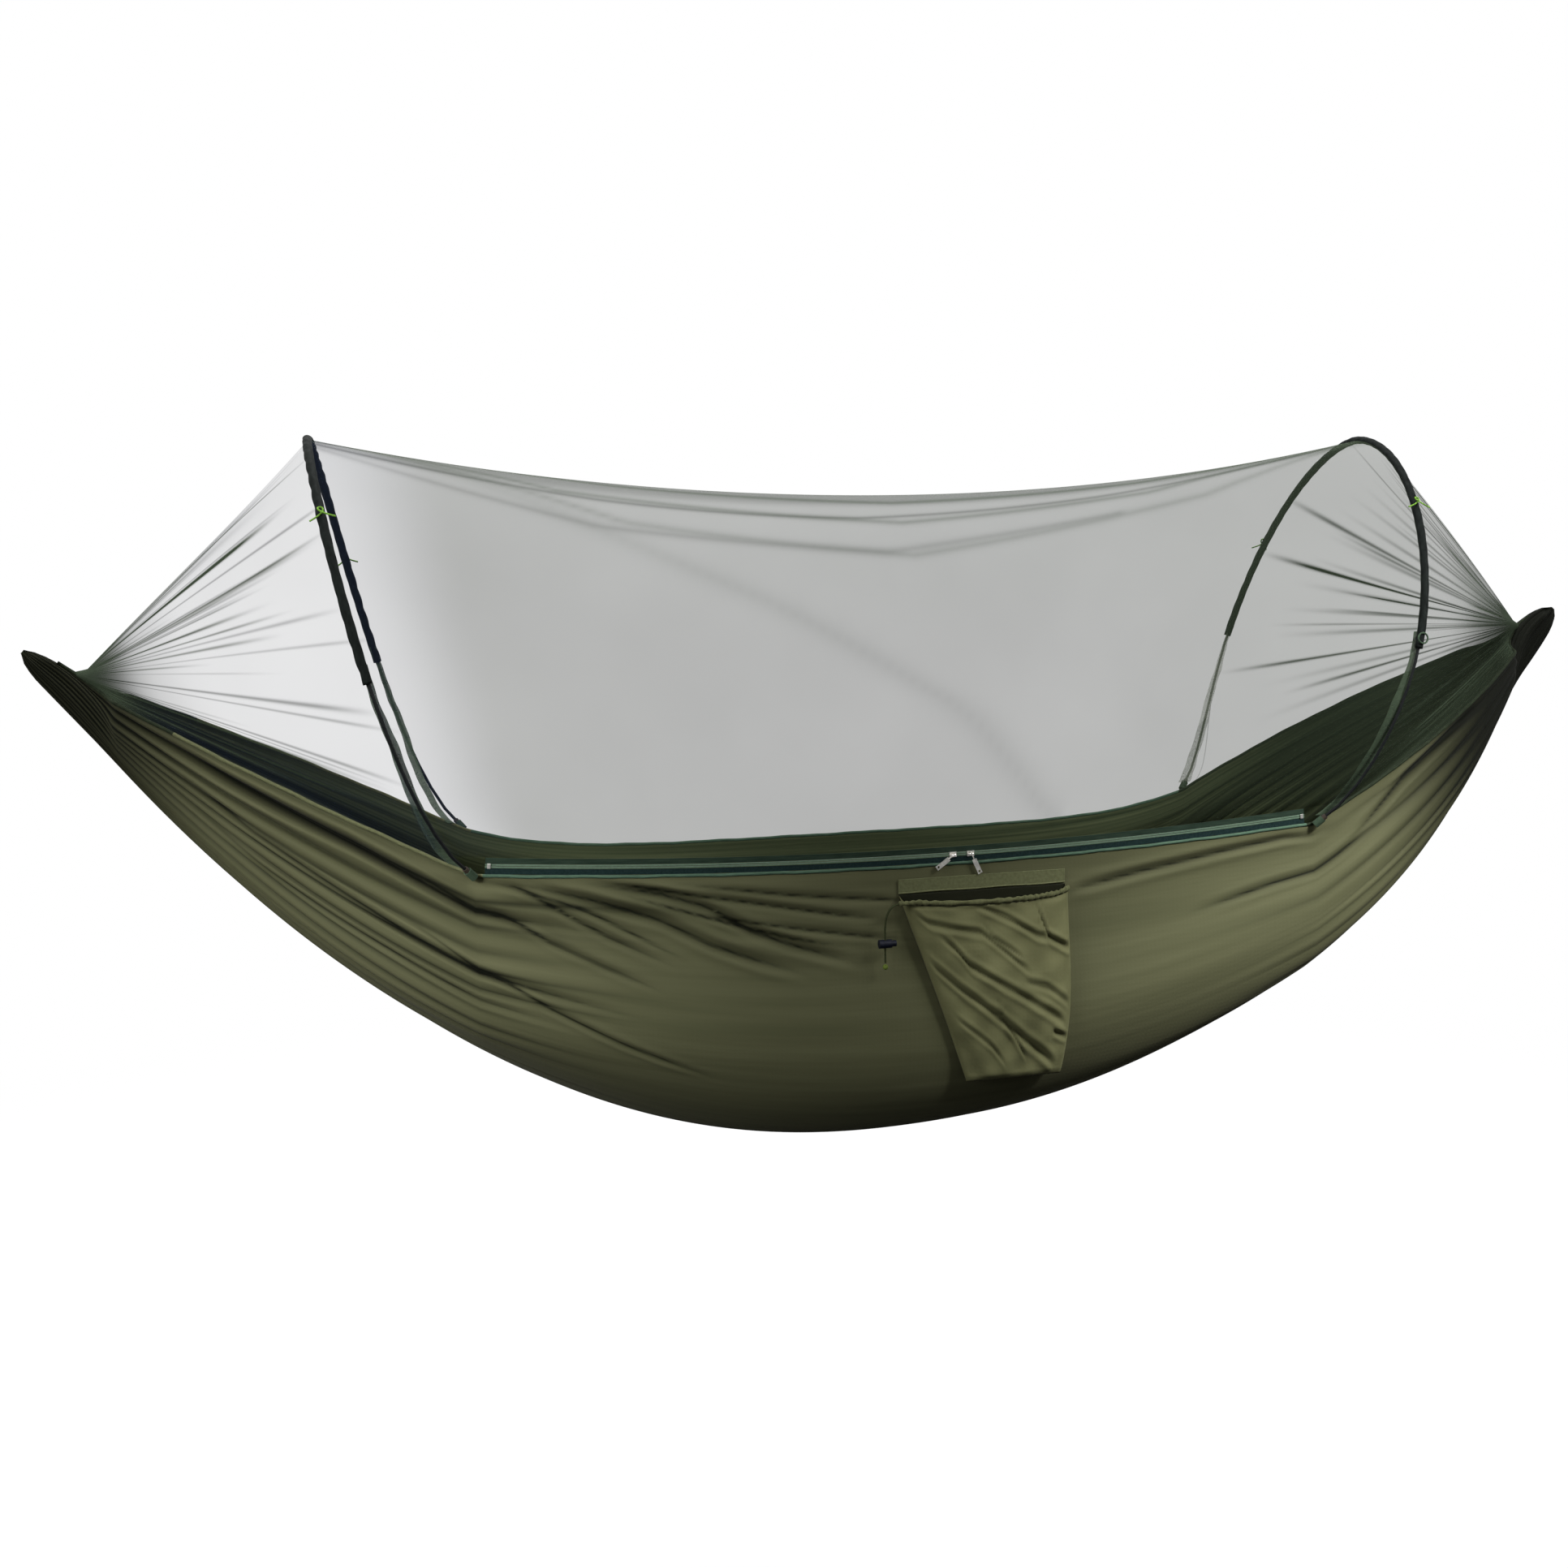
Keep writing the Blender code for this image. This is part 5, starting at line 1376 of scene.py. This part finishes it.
@dataclass
class Sack:
    """The storage sack that hangs on its strip, with the hem round its mouth and its drawcord."""
    finishes: Finishes
    columns: int = 220
    rows: int = 130
    left: float = -0.036
    right: float = 0.228
    left_taper: float = 0.097
    right_taper: float = 0.017
    hinge_z: float = -0.3815
    height: float = 0.289
    strip_inner: float = 0.2131
    bed_gap: float = 0.0018
    gap: float = 0.0005
    wall: float = 0.0014
    cloth_wall: float = 0.0006
    back_points: int = 400
    mouth_depth: float = 0.036
    bottom_depth: float = 0.009
    belly_depth: float = 0.037
    belly_reach: float = 1.2
    mouth_drop: float = 0.016
    front_power: float = 0.5
    pinch: float = 0.035
    least_rise: float = -0.005
    front_start: float = 0.02
    front_edge: Pair = (0.12, 0.5)
    mouth_edge: Pair = (0, 0.03)
    bottom_edge: Pair = (0, 0.06)
    bottom_calm: float = 0.25
    swell: float = 0.0022
    swell_rates: tuple[float, ...] = (9, -6.5, 1.2, 5)
    ripples: Rows = ((0.0009, 31, -12), (0.0007, 14, 37))
    # Painted shade: how strong it is in the front's creases, and how nearly black the back and sides are
    # painted.
    crease_shade_share: float = 0.55
    inner_painted_shade: float = 0.95
    hem_radius: float = 0.0042
    hem_around: int = 20
    mouth_turn: Pair = (0.2, 0.74)
    mouth_points: tuple[int, int] = (220, 30)
    gather_size: float = 0.86
    gather_tight: Pair = (0.16, 120)
    gather_drift: Pair = (9, 9)
    gather_turn: tuple[float, ...] = (0.08, 47, 2)
    piping_radius: float = 0.0012
    piping_points: int = 50
    piping_out: float = 0.0016
    piping_z: float = -0.3802
    piping_waves: Rows = ((0.0005, 60, 0),)
    cord_radius: float = 0.001
    cord_spacing: float = 0.0028
    cord_points: int = 26
    cord_smoothing: int = 2
    cord_marks: Path = ((0.0004, 0.0), (0.0077, 0.0014), (0.015, 0.0075), (0.0202, 0.0197),
                        (0.022, 0.034), (0.022, 0.058), (0.022, 0.0865))
    creases: tuple[Crease, ...] = creases(
        (0.0035, 0.006, 0.1, 0.02, 0.03, 0.1, 0.1, 0.4, 0.16, 0.6, 0.34, 0.7, 0.42),
        (0.005, 0.007, 0.1, 0.12, 0.16, 0.21, 0.24, 0.27, 0.34, 0.45, 0.45, 0.69, 0.58, 0.85, 0.66,
         0.97, 0.72),
        (0.005, 0.008, 0.1, 0.0, 0.3, 0.17, 0.47, 0.34, 0.6, 0.59, 0.78, 0.82, 0.9, 0.92, 0.95),
        (0.003, 0.005, 0.06, 0.42, 0.1, 0.47, 0.19, 0.59, 0.28, 0.66, 0.34),
        (0.0045, 0.006, 0.08, 0.38, -0.02, 0.6, 0.1, 0.75, 0.2, 0.85, 0.23),
        (0.006, 0.006, 0.04, 0.76, 0.0, 0.83, 0.22, 0.95, 0.29, 1.0, 0.3),
        (0.004, 0.005, 0.04, 0.82, 0.74, 0.9, 0.77, 1.0, 0.8),
        (0.0035, 0.006, 0.06, 0.38, 0.42, 0.42, 0.65, 0.57, 0.84, 0.62, 0.9),
        (0.0025, 0.006, 0.08, 0.05, 0.62, 0.3, 0.8, 0.42, 0.93),
        (0.003, 0.006, 0.08, 0.6, 0.44, 0.8, 0.5, 1.0, 0.62))

    def back(self, z: Array) -> Array:
        """How far out the sack's back lies, clear of the bed.

        Args:
            z: Heights.

        Returns:
            The distance from the bed's middle at each of them.
        """
        across = np.linspace(-1, 0, self.back_points)
        bed = LINES.bed(np.full_like(across, (self.left + self.right) / 2), across)
        heights, widest = bed[::-1, 2], np.maximum.accumulate(-bed[:, 1])[::-1]
        under = np.interp(z, heights, widest) + self.bed_gap
        return np.maximum(self.strip_inner, under) + self.wall / 2

    def place(self, share: Array, turn: Array) -> Array:
        """The smooth sack.

        Args:
            share: How far down each point is, from 0 to 1.
            turn: The angle from its left over the front to its right and along its back.

        Returns:
            The places in space.
        """
        z = self.hinge_z - self.gap - self.wall / 2 - self.height * share
        left = self.left + self.left_taper * share
        right = self.right - self.right_taper * share ** 4
        swell = np.sin(math.pi * np.minimum(1, self.belly_reach * share))
        swell = np.where(share < 1 / self.belly_reach, swell, 0)
        depth = (self.mouth_depth + (self.bottom_depth - self.mouth_depth) * share ** 2
                 + (self.belly_depth - self.mouth_depth) * swell)
        front = np.clip(np.sin(turn), 0, None) ** self.front_power
        drop = self.mouth_drop * front * (1 - share) ** 2
        x = (left + right) / 2 - (right - left) / 2 * np.cos(turn)
        return np.stack([x, -(self.back(z - drop) + depth * front), z - drop], axis=-1)

    def cloth(self) -> Object:
        """The pouch: a rolled sheet, closed along its bottom, with slanting creases in its front, painted
        shade in these creases, and its back and sides painted nearly black as shade.

        Returns:
            The pouch.
        """
        sheet = Panel("sack_cloth", self.columns, self.rows)
        turn = (sheet.u + 1) * math.pi
        share = (1 - sheet.v) / 2
        places = self.place(share, turn)
        pinch = np.sqrt(np.clip((1 - share) / self.pinch, 0, 1))
        back = -self.back(places[:, 2])
        front = np.clip(np.sin(turn), 0, None)
        s = (1 - np.cos(turn)) / 2
        rise, valley = np.zeros_like(s), np.zeros_like(s)
        for crease in self.creases:
            height, dark = crease.sink(s, share, np.full_like(s, self.height))
            rise += height
            valley += dark
        along, down, bend, rate = self.swell_rates
        rise += self.swell * np.sin(along * s + down * share + bend * np.sin(rate * share))
        rise += sum(height * np.sin(along * s + down * share) for height, along, down in self.ripples)
        mask = smoothstep(*self.front_edge, front) * smoothstep(*self.mouth_edge, share)
        bottom = smoothstep(*self.bottom_edge, 1 - share)
        rise *= mask * (self.bottom_calm + (1 - self.bottom_calm) * bottom)
        places[:, 1] = back + (places[:, 1] - back) * pinch - np.maximum(rise, self.least_rise) * pinch
        sheet.move(places)
        # Painted shade: in the front's creases, and nearly black on the back and sides, which lie in shade
        # inside the mouth.
        dark = self.crease_shade_share * np.clip(valley * mask, 0, 1)
        sheet.attribute("valley", np.where(front > self.front_start, dark, self.inner_painted_shade))
        sheet.close()
        sheet.obj.data.materials.append(self.finishes.sack)
        thicken(sheet.obj, self.cloth_wall)
        return sheet.obj

    def mouth(self) -> Array:
        """The line of the hem round the mouth, from the left over the front.

        Returns:
            Its places.
        """
        start, whole = self.mouth_turn
        front, side = self.mouth_points
        turn = math.pi * (start + whole * np.linspace(0, 1, front))
        line = self.place(np.zeros_like(turn), turn)
        line += np.array([0, -self.wall / 2, self.hem_radius + self.wall / 2])
        first = line[0].copy()
        first[0] = self.left - 2 * self.hem_radius
        lead = first + (line[0] - first) * np.linspace(0, 1, side)[:-1, None]
        return np.concatenate([lead, line])

    def gather(self, share: Array, angle: Array) -> Array:
        """The hem's radius, small and large in turn where the drawcord gathers it.

        Args:
            share: Places along the hem, from 0 to 1.
            angle: Places round it.

        Returns:
            The radius at each of them.
        """
        tight, rate = self.gather_tight
        drift, slow = self.gather_drift
        small, along, turn = self.gather_turn
        pucker = self.gather_size + tight * np.sin(rate * share + drift * np.sin(slow * share))
        return self.hem_radius * (pucker + small * np.sin(along * share + turn * angle))

    def cord(self, word: str, offset: float, start: Array) -> None:
        """One strand of the drawcord, from the hem's end to the knot.

        Args:
            word: Which strand: front or back.
            offset: How far to the side it starts.
            start: The hem's end.
        """
        marks = np.array(self.cord_marks)
        run = np.concatenate([[0.0], np.cumsum(np.hypot(*np.diff(marks, axis=0).T))])
        even = np.linspace(0, run[-1], self.cord_points)
        out, down = (np.interp(even, run, marks[:, k]) for k in (0, 1))
        for _ in range(self.cord_smoothing):
            for line in (out, down):
                line[1:-1] = (line[:-2] + 2 * line[1:-1] + line[2:]) / 4
        places = np.stack([start[0] - out, start[1] + offset + 0 * out, start[2] - down], axis=-1)
        made = tube(f"drawcord_{word}_strand", places, self.cord_radius, self.finishes.cord)
        declare(made, "sack", "olive_cord", f"drawcord_{word}")

    def build(self) -> None:
        """Make and dress the sack."""
        declare(self.cloth(), "sack", "olive_nylon", "sack_body")
        line = self.mouth()
        hem = rolled("sack_mouth_hem", line, self.gather, self.hem_around, (0, 0, 1))
        hem.data.materials.append(self.finishes.mouth)
        declare(hem, "sack", "olive_nylon", "sack_mouth_channel")
        x = np.linspace(self.left, self.right, self.piping_points)
        edge = np.stack([x, 0 * x - self.strip_inner - self.piping_out, 0 * x + self.piping_z], axis=-1)
        edge[:, 2] += waves(x, self.piping_waves)
        piping = tube("sack_strip_piping", edge, self.piping_radius, self.finishes.piping)
        declare(piping, "hammock", "olive_nylon")
        for word, offset in (("front", -self.cord_spacing / 2), ("back", self.cord_spacing / 2)):
            self.cord(word, offset, line[0])


# Hoops.

@dataclass
class Hoops:
    """The cloth on the two hoops: wrinkled sleeves, and the net's binding beside the legs."""
    finishes: Finishes
    nets: Nets
    sleeve_start: float = 0.275
    sleeve_radius: float = 0.006
    sleeve_grid: tuple[int, int] = (300, 18)
    sleeve_pucker: Pair = (0.22, 0.07)
    pucker_rate: float = 95
    pucker_turn: float = 0.5
    ease: float = 0.6
    ease_waves: Rows = ((0.06, 210, 3), (0.05, 41, 0))
    binding_start: float = 0.02
    binding_stop: float = 0.30
    binding_wall: float = 0.0006
    binding_grid: tuple[int, int] = (6, 90)
    binding_belly: tuple[float, ...] = (0.45, 0.55, 0.15, 0.8)
    binding_out: Pair = (0.004, 0.006)
    binding_in: tuple[float, ...] = (0.0042, 0.12, 0.5)
    binding_swing: float = 0.4
    binding_waves: tuple[Pair, Pair] = ((0.0018, 19), (0.001, 47))
    binding_widths: tuple[float, ...] = (0.008, 0.006, 0.014, 0.018)
    seed: int = 3

    def sleeve(self, end: End) -> None:
        """The sleeve over a hoop, puckered along its inner side.

        Args:
            end: The hoop's end of the bed.
        """
        word = end.name.lower()
        first = LINES.near_angle(self.sleeve_start)
        stations, around = self.sleeve_grid
        path = LINES.hoop(end, np.linspace(first, math.pi - first, stations))
        phase = np.random.default_rng(self.seed + end).uniform(0, 6, 3)
        depth = self.sleeve_pucker[0 if end == End.LEFT else 1]

        def radius(share: Array, angle: Array) -> Array:
            """The radius along and round the sleeve.

            Args:
                share: Places along it, from 0 to 1.
                angle: Places round it.

            Returns:
                The radius at each of them.
            """
            inner = np.clip(np.cos(angle - self.pucker_turn), 0, 1) ** 2
            pucker = np.abs(np.sin(self.pucker_rate * share + phase[0])) * inner
            ease = sum(height * np.sin(along * share + turn * angle + shift)
                       for (height, along, turn), shift in zip(self.ease_waves, phase[1:]))
            return self.sleeve_radius * (1.0 + depth * pucker + self.ease * ease)

        made = rolled(f"{word}_sleeve_cloth", path, radius, around, (0, -end, 0))
        made.data.materials.append(self.finishes.sleeve)
        declare(made, f"{word}_hoop", "black_sleeve", f"{word}_hoop_sleeve")

    def binding(self, end: End, side: Side, width: float) -> None:
        """The bound seam of the nets beside a leg, a little inside of it; the far right one is pale.

        Args:
            end: The hoop's end of the bed.
            side: The leg's side.
            width: How wide the strip is at its widest.
        """
        word = end.name.lower()
        sheet = Panel(f"{word}_{side.name.lower()}_net_binding", *self.binding_grid)
        share = (sheet.v + 1) / 2
        height = self.binding_start + (self.binding_stop - self.binding_start) * share
        line = self.nets.seam(end, side, height)
        base, more, shift, power = self.binding_belly
        pale = end == End.RIGHT and side == Side.FAR
        if pale:
            angle = np.array([LINES.near_angle(float(z) - LINES.foot_z) for z in line[:, 2]])
            line = LINES.hoop(end, math.pi - angle)
            belly = (1 - share) ** power
        else:
            belly = base + more * np.sin(math.pi * np.clip(shift + share, 0, 1)) ** power
        outer, least = self.binding_out
        out = outer - (sheet.u + 1) / 2 * (least + width * belly)
        (large, slow), (small, fast) = self.binding_waves
        wave = large * np.sin(slow * share + side) + small * np.sin(fast * share + 1)
        gap, lean, swing = self.binding_in
        inward = gap + lean * np.abs(out) + swing * wave * (0.5 - sheet.u / 2)
        along = end * (out + self.binding_swing * wave)
        sheet.move(line + np.stack([along, -side * inward, 0 * out], axis=-1))
        made = sheet.obj
        made.data.materials.append(self.finishes.pale_binding if pale else self.finishes.binding)
        thicken(made, self.binding_wall, 0.0)
        declare(made, f"{word}_hoop", "grey_net")

    def build(self) -> None:
        """Make and dress both hoops."""
        widths = iter(self.binding_widths)
        for end in End:
            self.sleeve(end)
            for side in Side:
                self.binding(end, side, next(widths))


# Carried-over nodes.

@dataclass
class Fittings:
    """The CAD nodes that stay, each with its finish."""
    finishes: Finishes

    def build(self) -> None:
        """Dress every node that no piece replaces, by the first rule that its name meets."""
        f = self.finishes
        rules = (("zip_tape_upper", f.upper_tape), ("zip_tape_lower", f.tape), ("zip_coil", f.coil),
                 ("zip_stop", f.steel), ("zip_slider", f.steel), ("zip_pull", f.steel),
                 ("hoop_pole", f.rod), ("pole_tip", f.rubber), ("foot_pocket", f.hem),
                 ("net_tie", f.neon), ("tie_back_loop", f.hem), ("sack_strip", f.piping),
                 ("drawcord_knot", f.knot), ("cord_lock_spring", f.steel), ("cord_lock", f.lock))
        for name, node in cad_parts.items():
            finish = next((finish for part, finish in rules if part in name), None)
            if finish is None:
                continue
            for slot in node.material_slots:
                slot.material = finish
            LOG.info("%s: %s", name, finish.name)


# Stage.

class LampKind(Enum):
    """The form of a lamp."""
    AREA = "AREA"
    SPOT = "SPOT"


@dataclass(frozen=True)
class Lamp:
    """A soft lamp that faces a target: a square one, or a spot with a wide soft edge."""
    name: str
    place: Place
    target: Place
    size: float
    power: float
    kind: LampKind = LampKind.AREA
    angle: float = 0.0

    def hang(self) -> None:
        """Hang the lamp."""
        data = bpy.data.lights.new(self.name, self.kind.value)
        data.energy = self.power
        if self.kind == LampKind.SPOT:
            data.spot_size, data.spot_blend = math.radians(self.angle), 1.0
            data.shadow_soft_size = self.size
        else:
            data.size = self.size
        aim = (Vector(self.target) - Vector(self.place)).to_track_quat("-Z", "Y")
        turn = aim.to_matrix().to_4x4()
        add_object(self.name, data).matrix_world = Matrix.Translation(self.place) @ turn


@dataclass
class Studio:
    """Camera, lamps, world and floor."""
    eye: Place = (-0.7144, -2.3552, 0.0905)
    yaw: float = -0.2328
    pitch: float = -0.1351
    roll: float = -0.0197
    lens: float = 35.44
    sensor: float = 36.0
    clip: Pair = (0.05, 60.0)
    world_light: float = 0.10
    floor_z: float = -1.5
    floor_size: float = 20.0
    floor_lit: Colour = (0.4, 0.4, 0.4)
    floor_back: float = 0.05
    floor_fade: Pair = (1.8, 4.0)
    floor_glow: float = 0.85
    lamps: tuple[Lamp, ...] = (
        Lamp("key", (2.6, -2.4, 2.5), (0, 0, -0.35), 1.4, 43),
        Lamp("fill", (-3.1, -1.6, 1.3), (-0.3, 0, -0.3), 1.6, 46),
        Lamp("top", (0.0, 0.4, 3.0), (0, 0, -0.3), 2.4, 88),
        Lamp("right_hull", (1.6, -2.4, 1.8), (0.66, -0.25, -0.5), 0.3, 560, LampKind.SPOT, 22),
        Lamp("left_hull", (-2.2, -2.2, 0.6), (-0.68, -0.2, -0.45), 0.3, 330, LampKind.SPOT, 17))

    def camera(self) -> None:
        """Stand the camera where the photo's camera stood."""
        ahead = Vector((-math.sin(self.yaw) * math.cos(self.pitch),
                        math.cos(self.yaw) * math.cos(self.pitch), math.sin(self.pitch)))
        right = Vector((math.cos(self.yaw), math.sin(self.yaw), 0.0))
        up = right.cross(ahead)
        level = right * math.cos(self.roll) + up * math.sin(self.roll)
        above = up * math.cos(self.roll) - right * math.sin(self.roll)
        data = bpy.data.cameras.new("camera")
        data.lens, data.sensor_width = self.lens, self.sensor
        data.clip_start, data.clip_end = self.clip
        made = add_object("camera", data)
        turn = Matrix((level, above, -ahead)).transposed().to_4x4()
        made.matrix_world = Matrix.Translation(self.eye) @ turn
        bpy.context.scene.camera = made

    def world(self) -> None:
        """White behind the object and in its reflections, and a low even light on it."""
        world = bpy.data.worlds.new("studio")
        bpy.context.scene.world = world
        world.use_nodes = True
        world.node_tree.nodes.clear()
        nodes = Nodes(world)
        rays = nodes.add("LightPath").outputs
        seen = nodes.maths("MAXIMUM", rays["Is Camera Ray"], rays["Is Glossy Ray"])
        seen = nodes.maths("MAXIMUM", seen, rays["Is Transmission Ray"])
        low, white = (nodes.add("Background", (1, 1, 1, 1), strength).outputs[0]
                      for strength in (self.world_light, 1.0))
        nodes.add("OutputWorld", nodes.add("MixShader", seen, low, white).outputs[0])

    def floor(self) -> None:
        """A plain white floor well below the hammock, that throws little light back up."""
        bm = bmesh.new()
        bmesh.ops.create_grid(bm, x_segments=1, y_segments=1, size=self.floor_size)
        bmesh.ops.translate(bm, vec=(0, 0, self.floor_z), verts=bm.verts)
        data = bpy.data.meshes.new("floor")
        bm.to_mesh(data)
        bm.free()
        nodes = Nodes.fresh("floor_white")
        away = nodes.add("VectorMath", nodes.add("TexCoord").outputs["Object"], operation="LENGTH")
        start, stop = self.floor_fade
        fade = nodes.add("MapRange", away.outputs["Value"], start, stop, self.floor_glow,
                         1.0).outputs["Result"]
        seen = nodes.add("LightPath").outputs["Is Camera Ray"]
        near = nodes.ramp(fade, self.floor_lit, (0.0, 0.0, 0.0), self.floor_glow, 1.0)
        data.materials.append(nodes.surface(
            Base_Color=nodes.blend(seen, (*(self.floor_back,) * 3, 1.0), near), Roughness=0.9,
            Specular_IOR_Level=0.0, Emission_Color=(1, 1, 1, 1),
            Emission_Strength=nodes.maths("MULTIPLY", seen, fade)))
        add_object("floor", data)

    def build(self) -> None:
        """Set the stage."""
        self.camera()
        for lamp in self.lamps:
            lamp.hang()
        self.world()
        self.floor()
        bpy.context.scene.view_settings.view_transform = "Standard"
        LOG.info("stage: camera, %d lamps, world and floor", len(self.lamps))


def main() -> None:
    """Build the looks piece by piece."""
    logging.basicConfig(level=logging.INFO, format="%(name)s %(message)s")
    finishes = Finishes()
    Studio().build()
    bed = Bed(finishes)
    bed.build()
    nets = Nets(finishes, bed)
    nets.build()
    Sack(finishes).build()
    Hoops(finishes, nets).build()
    Fittings(finishes).build()


if __name__ == "__main__":
    main()
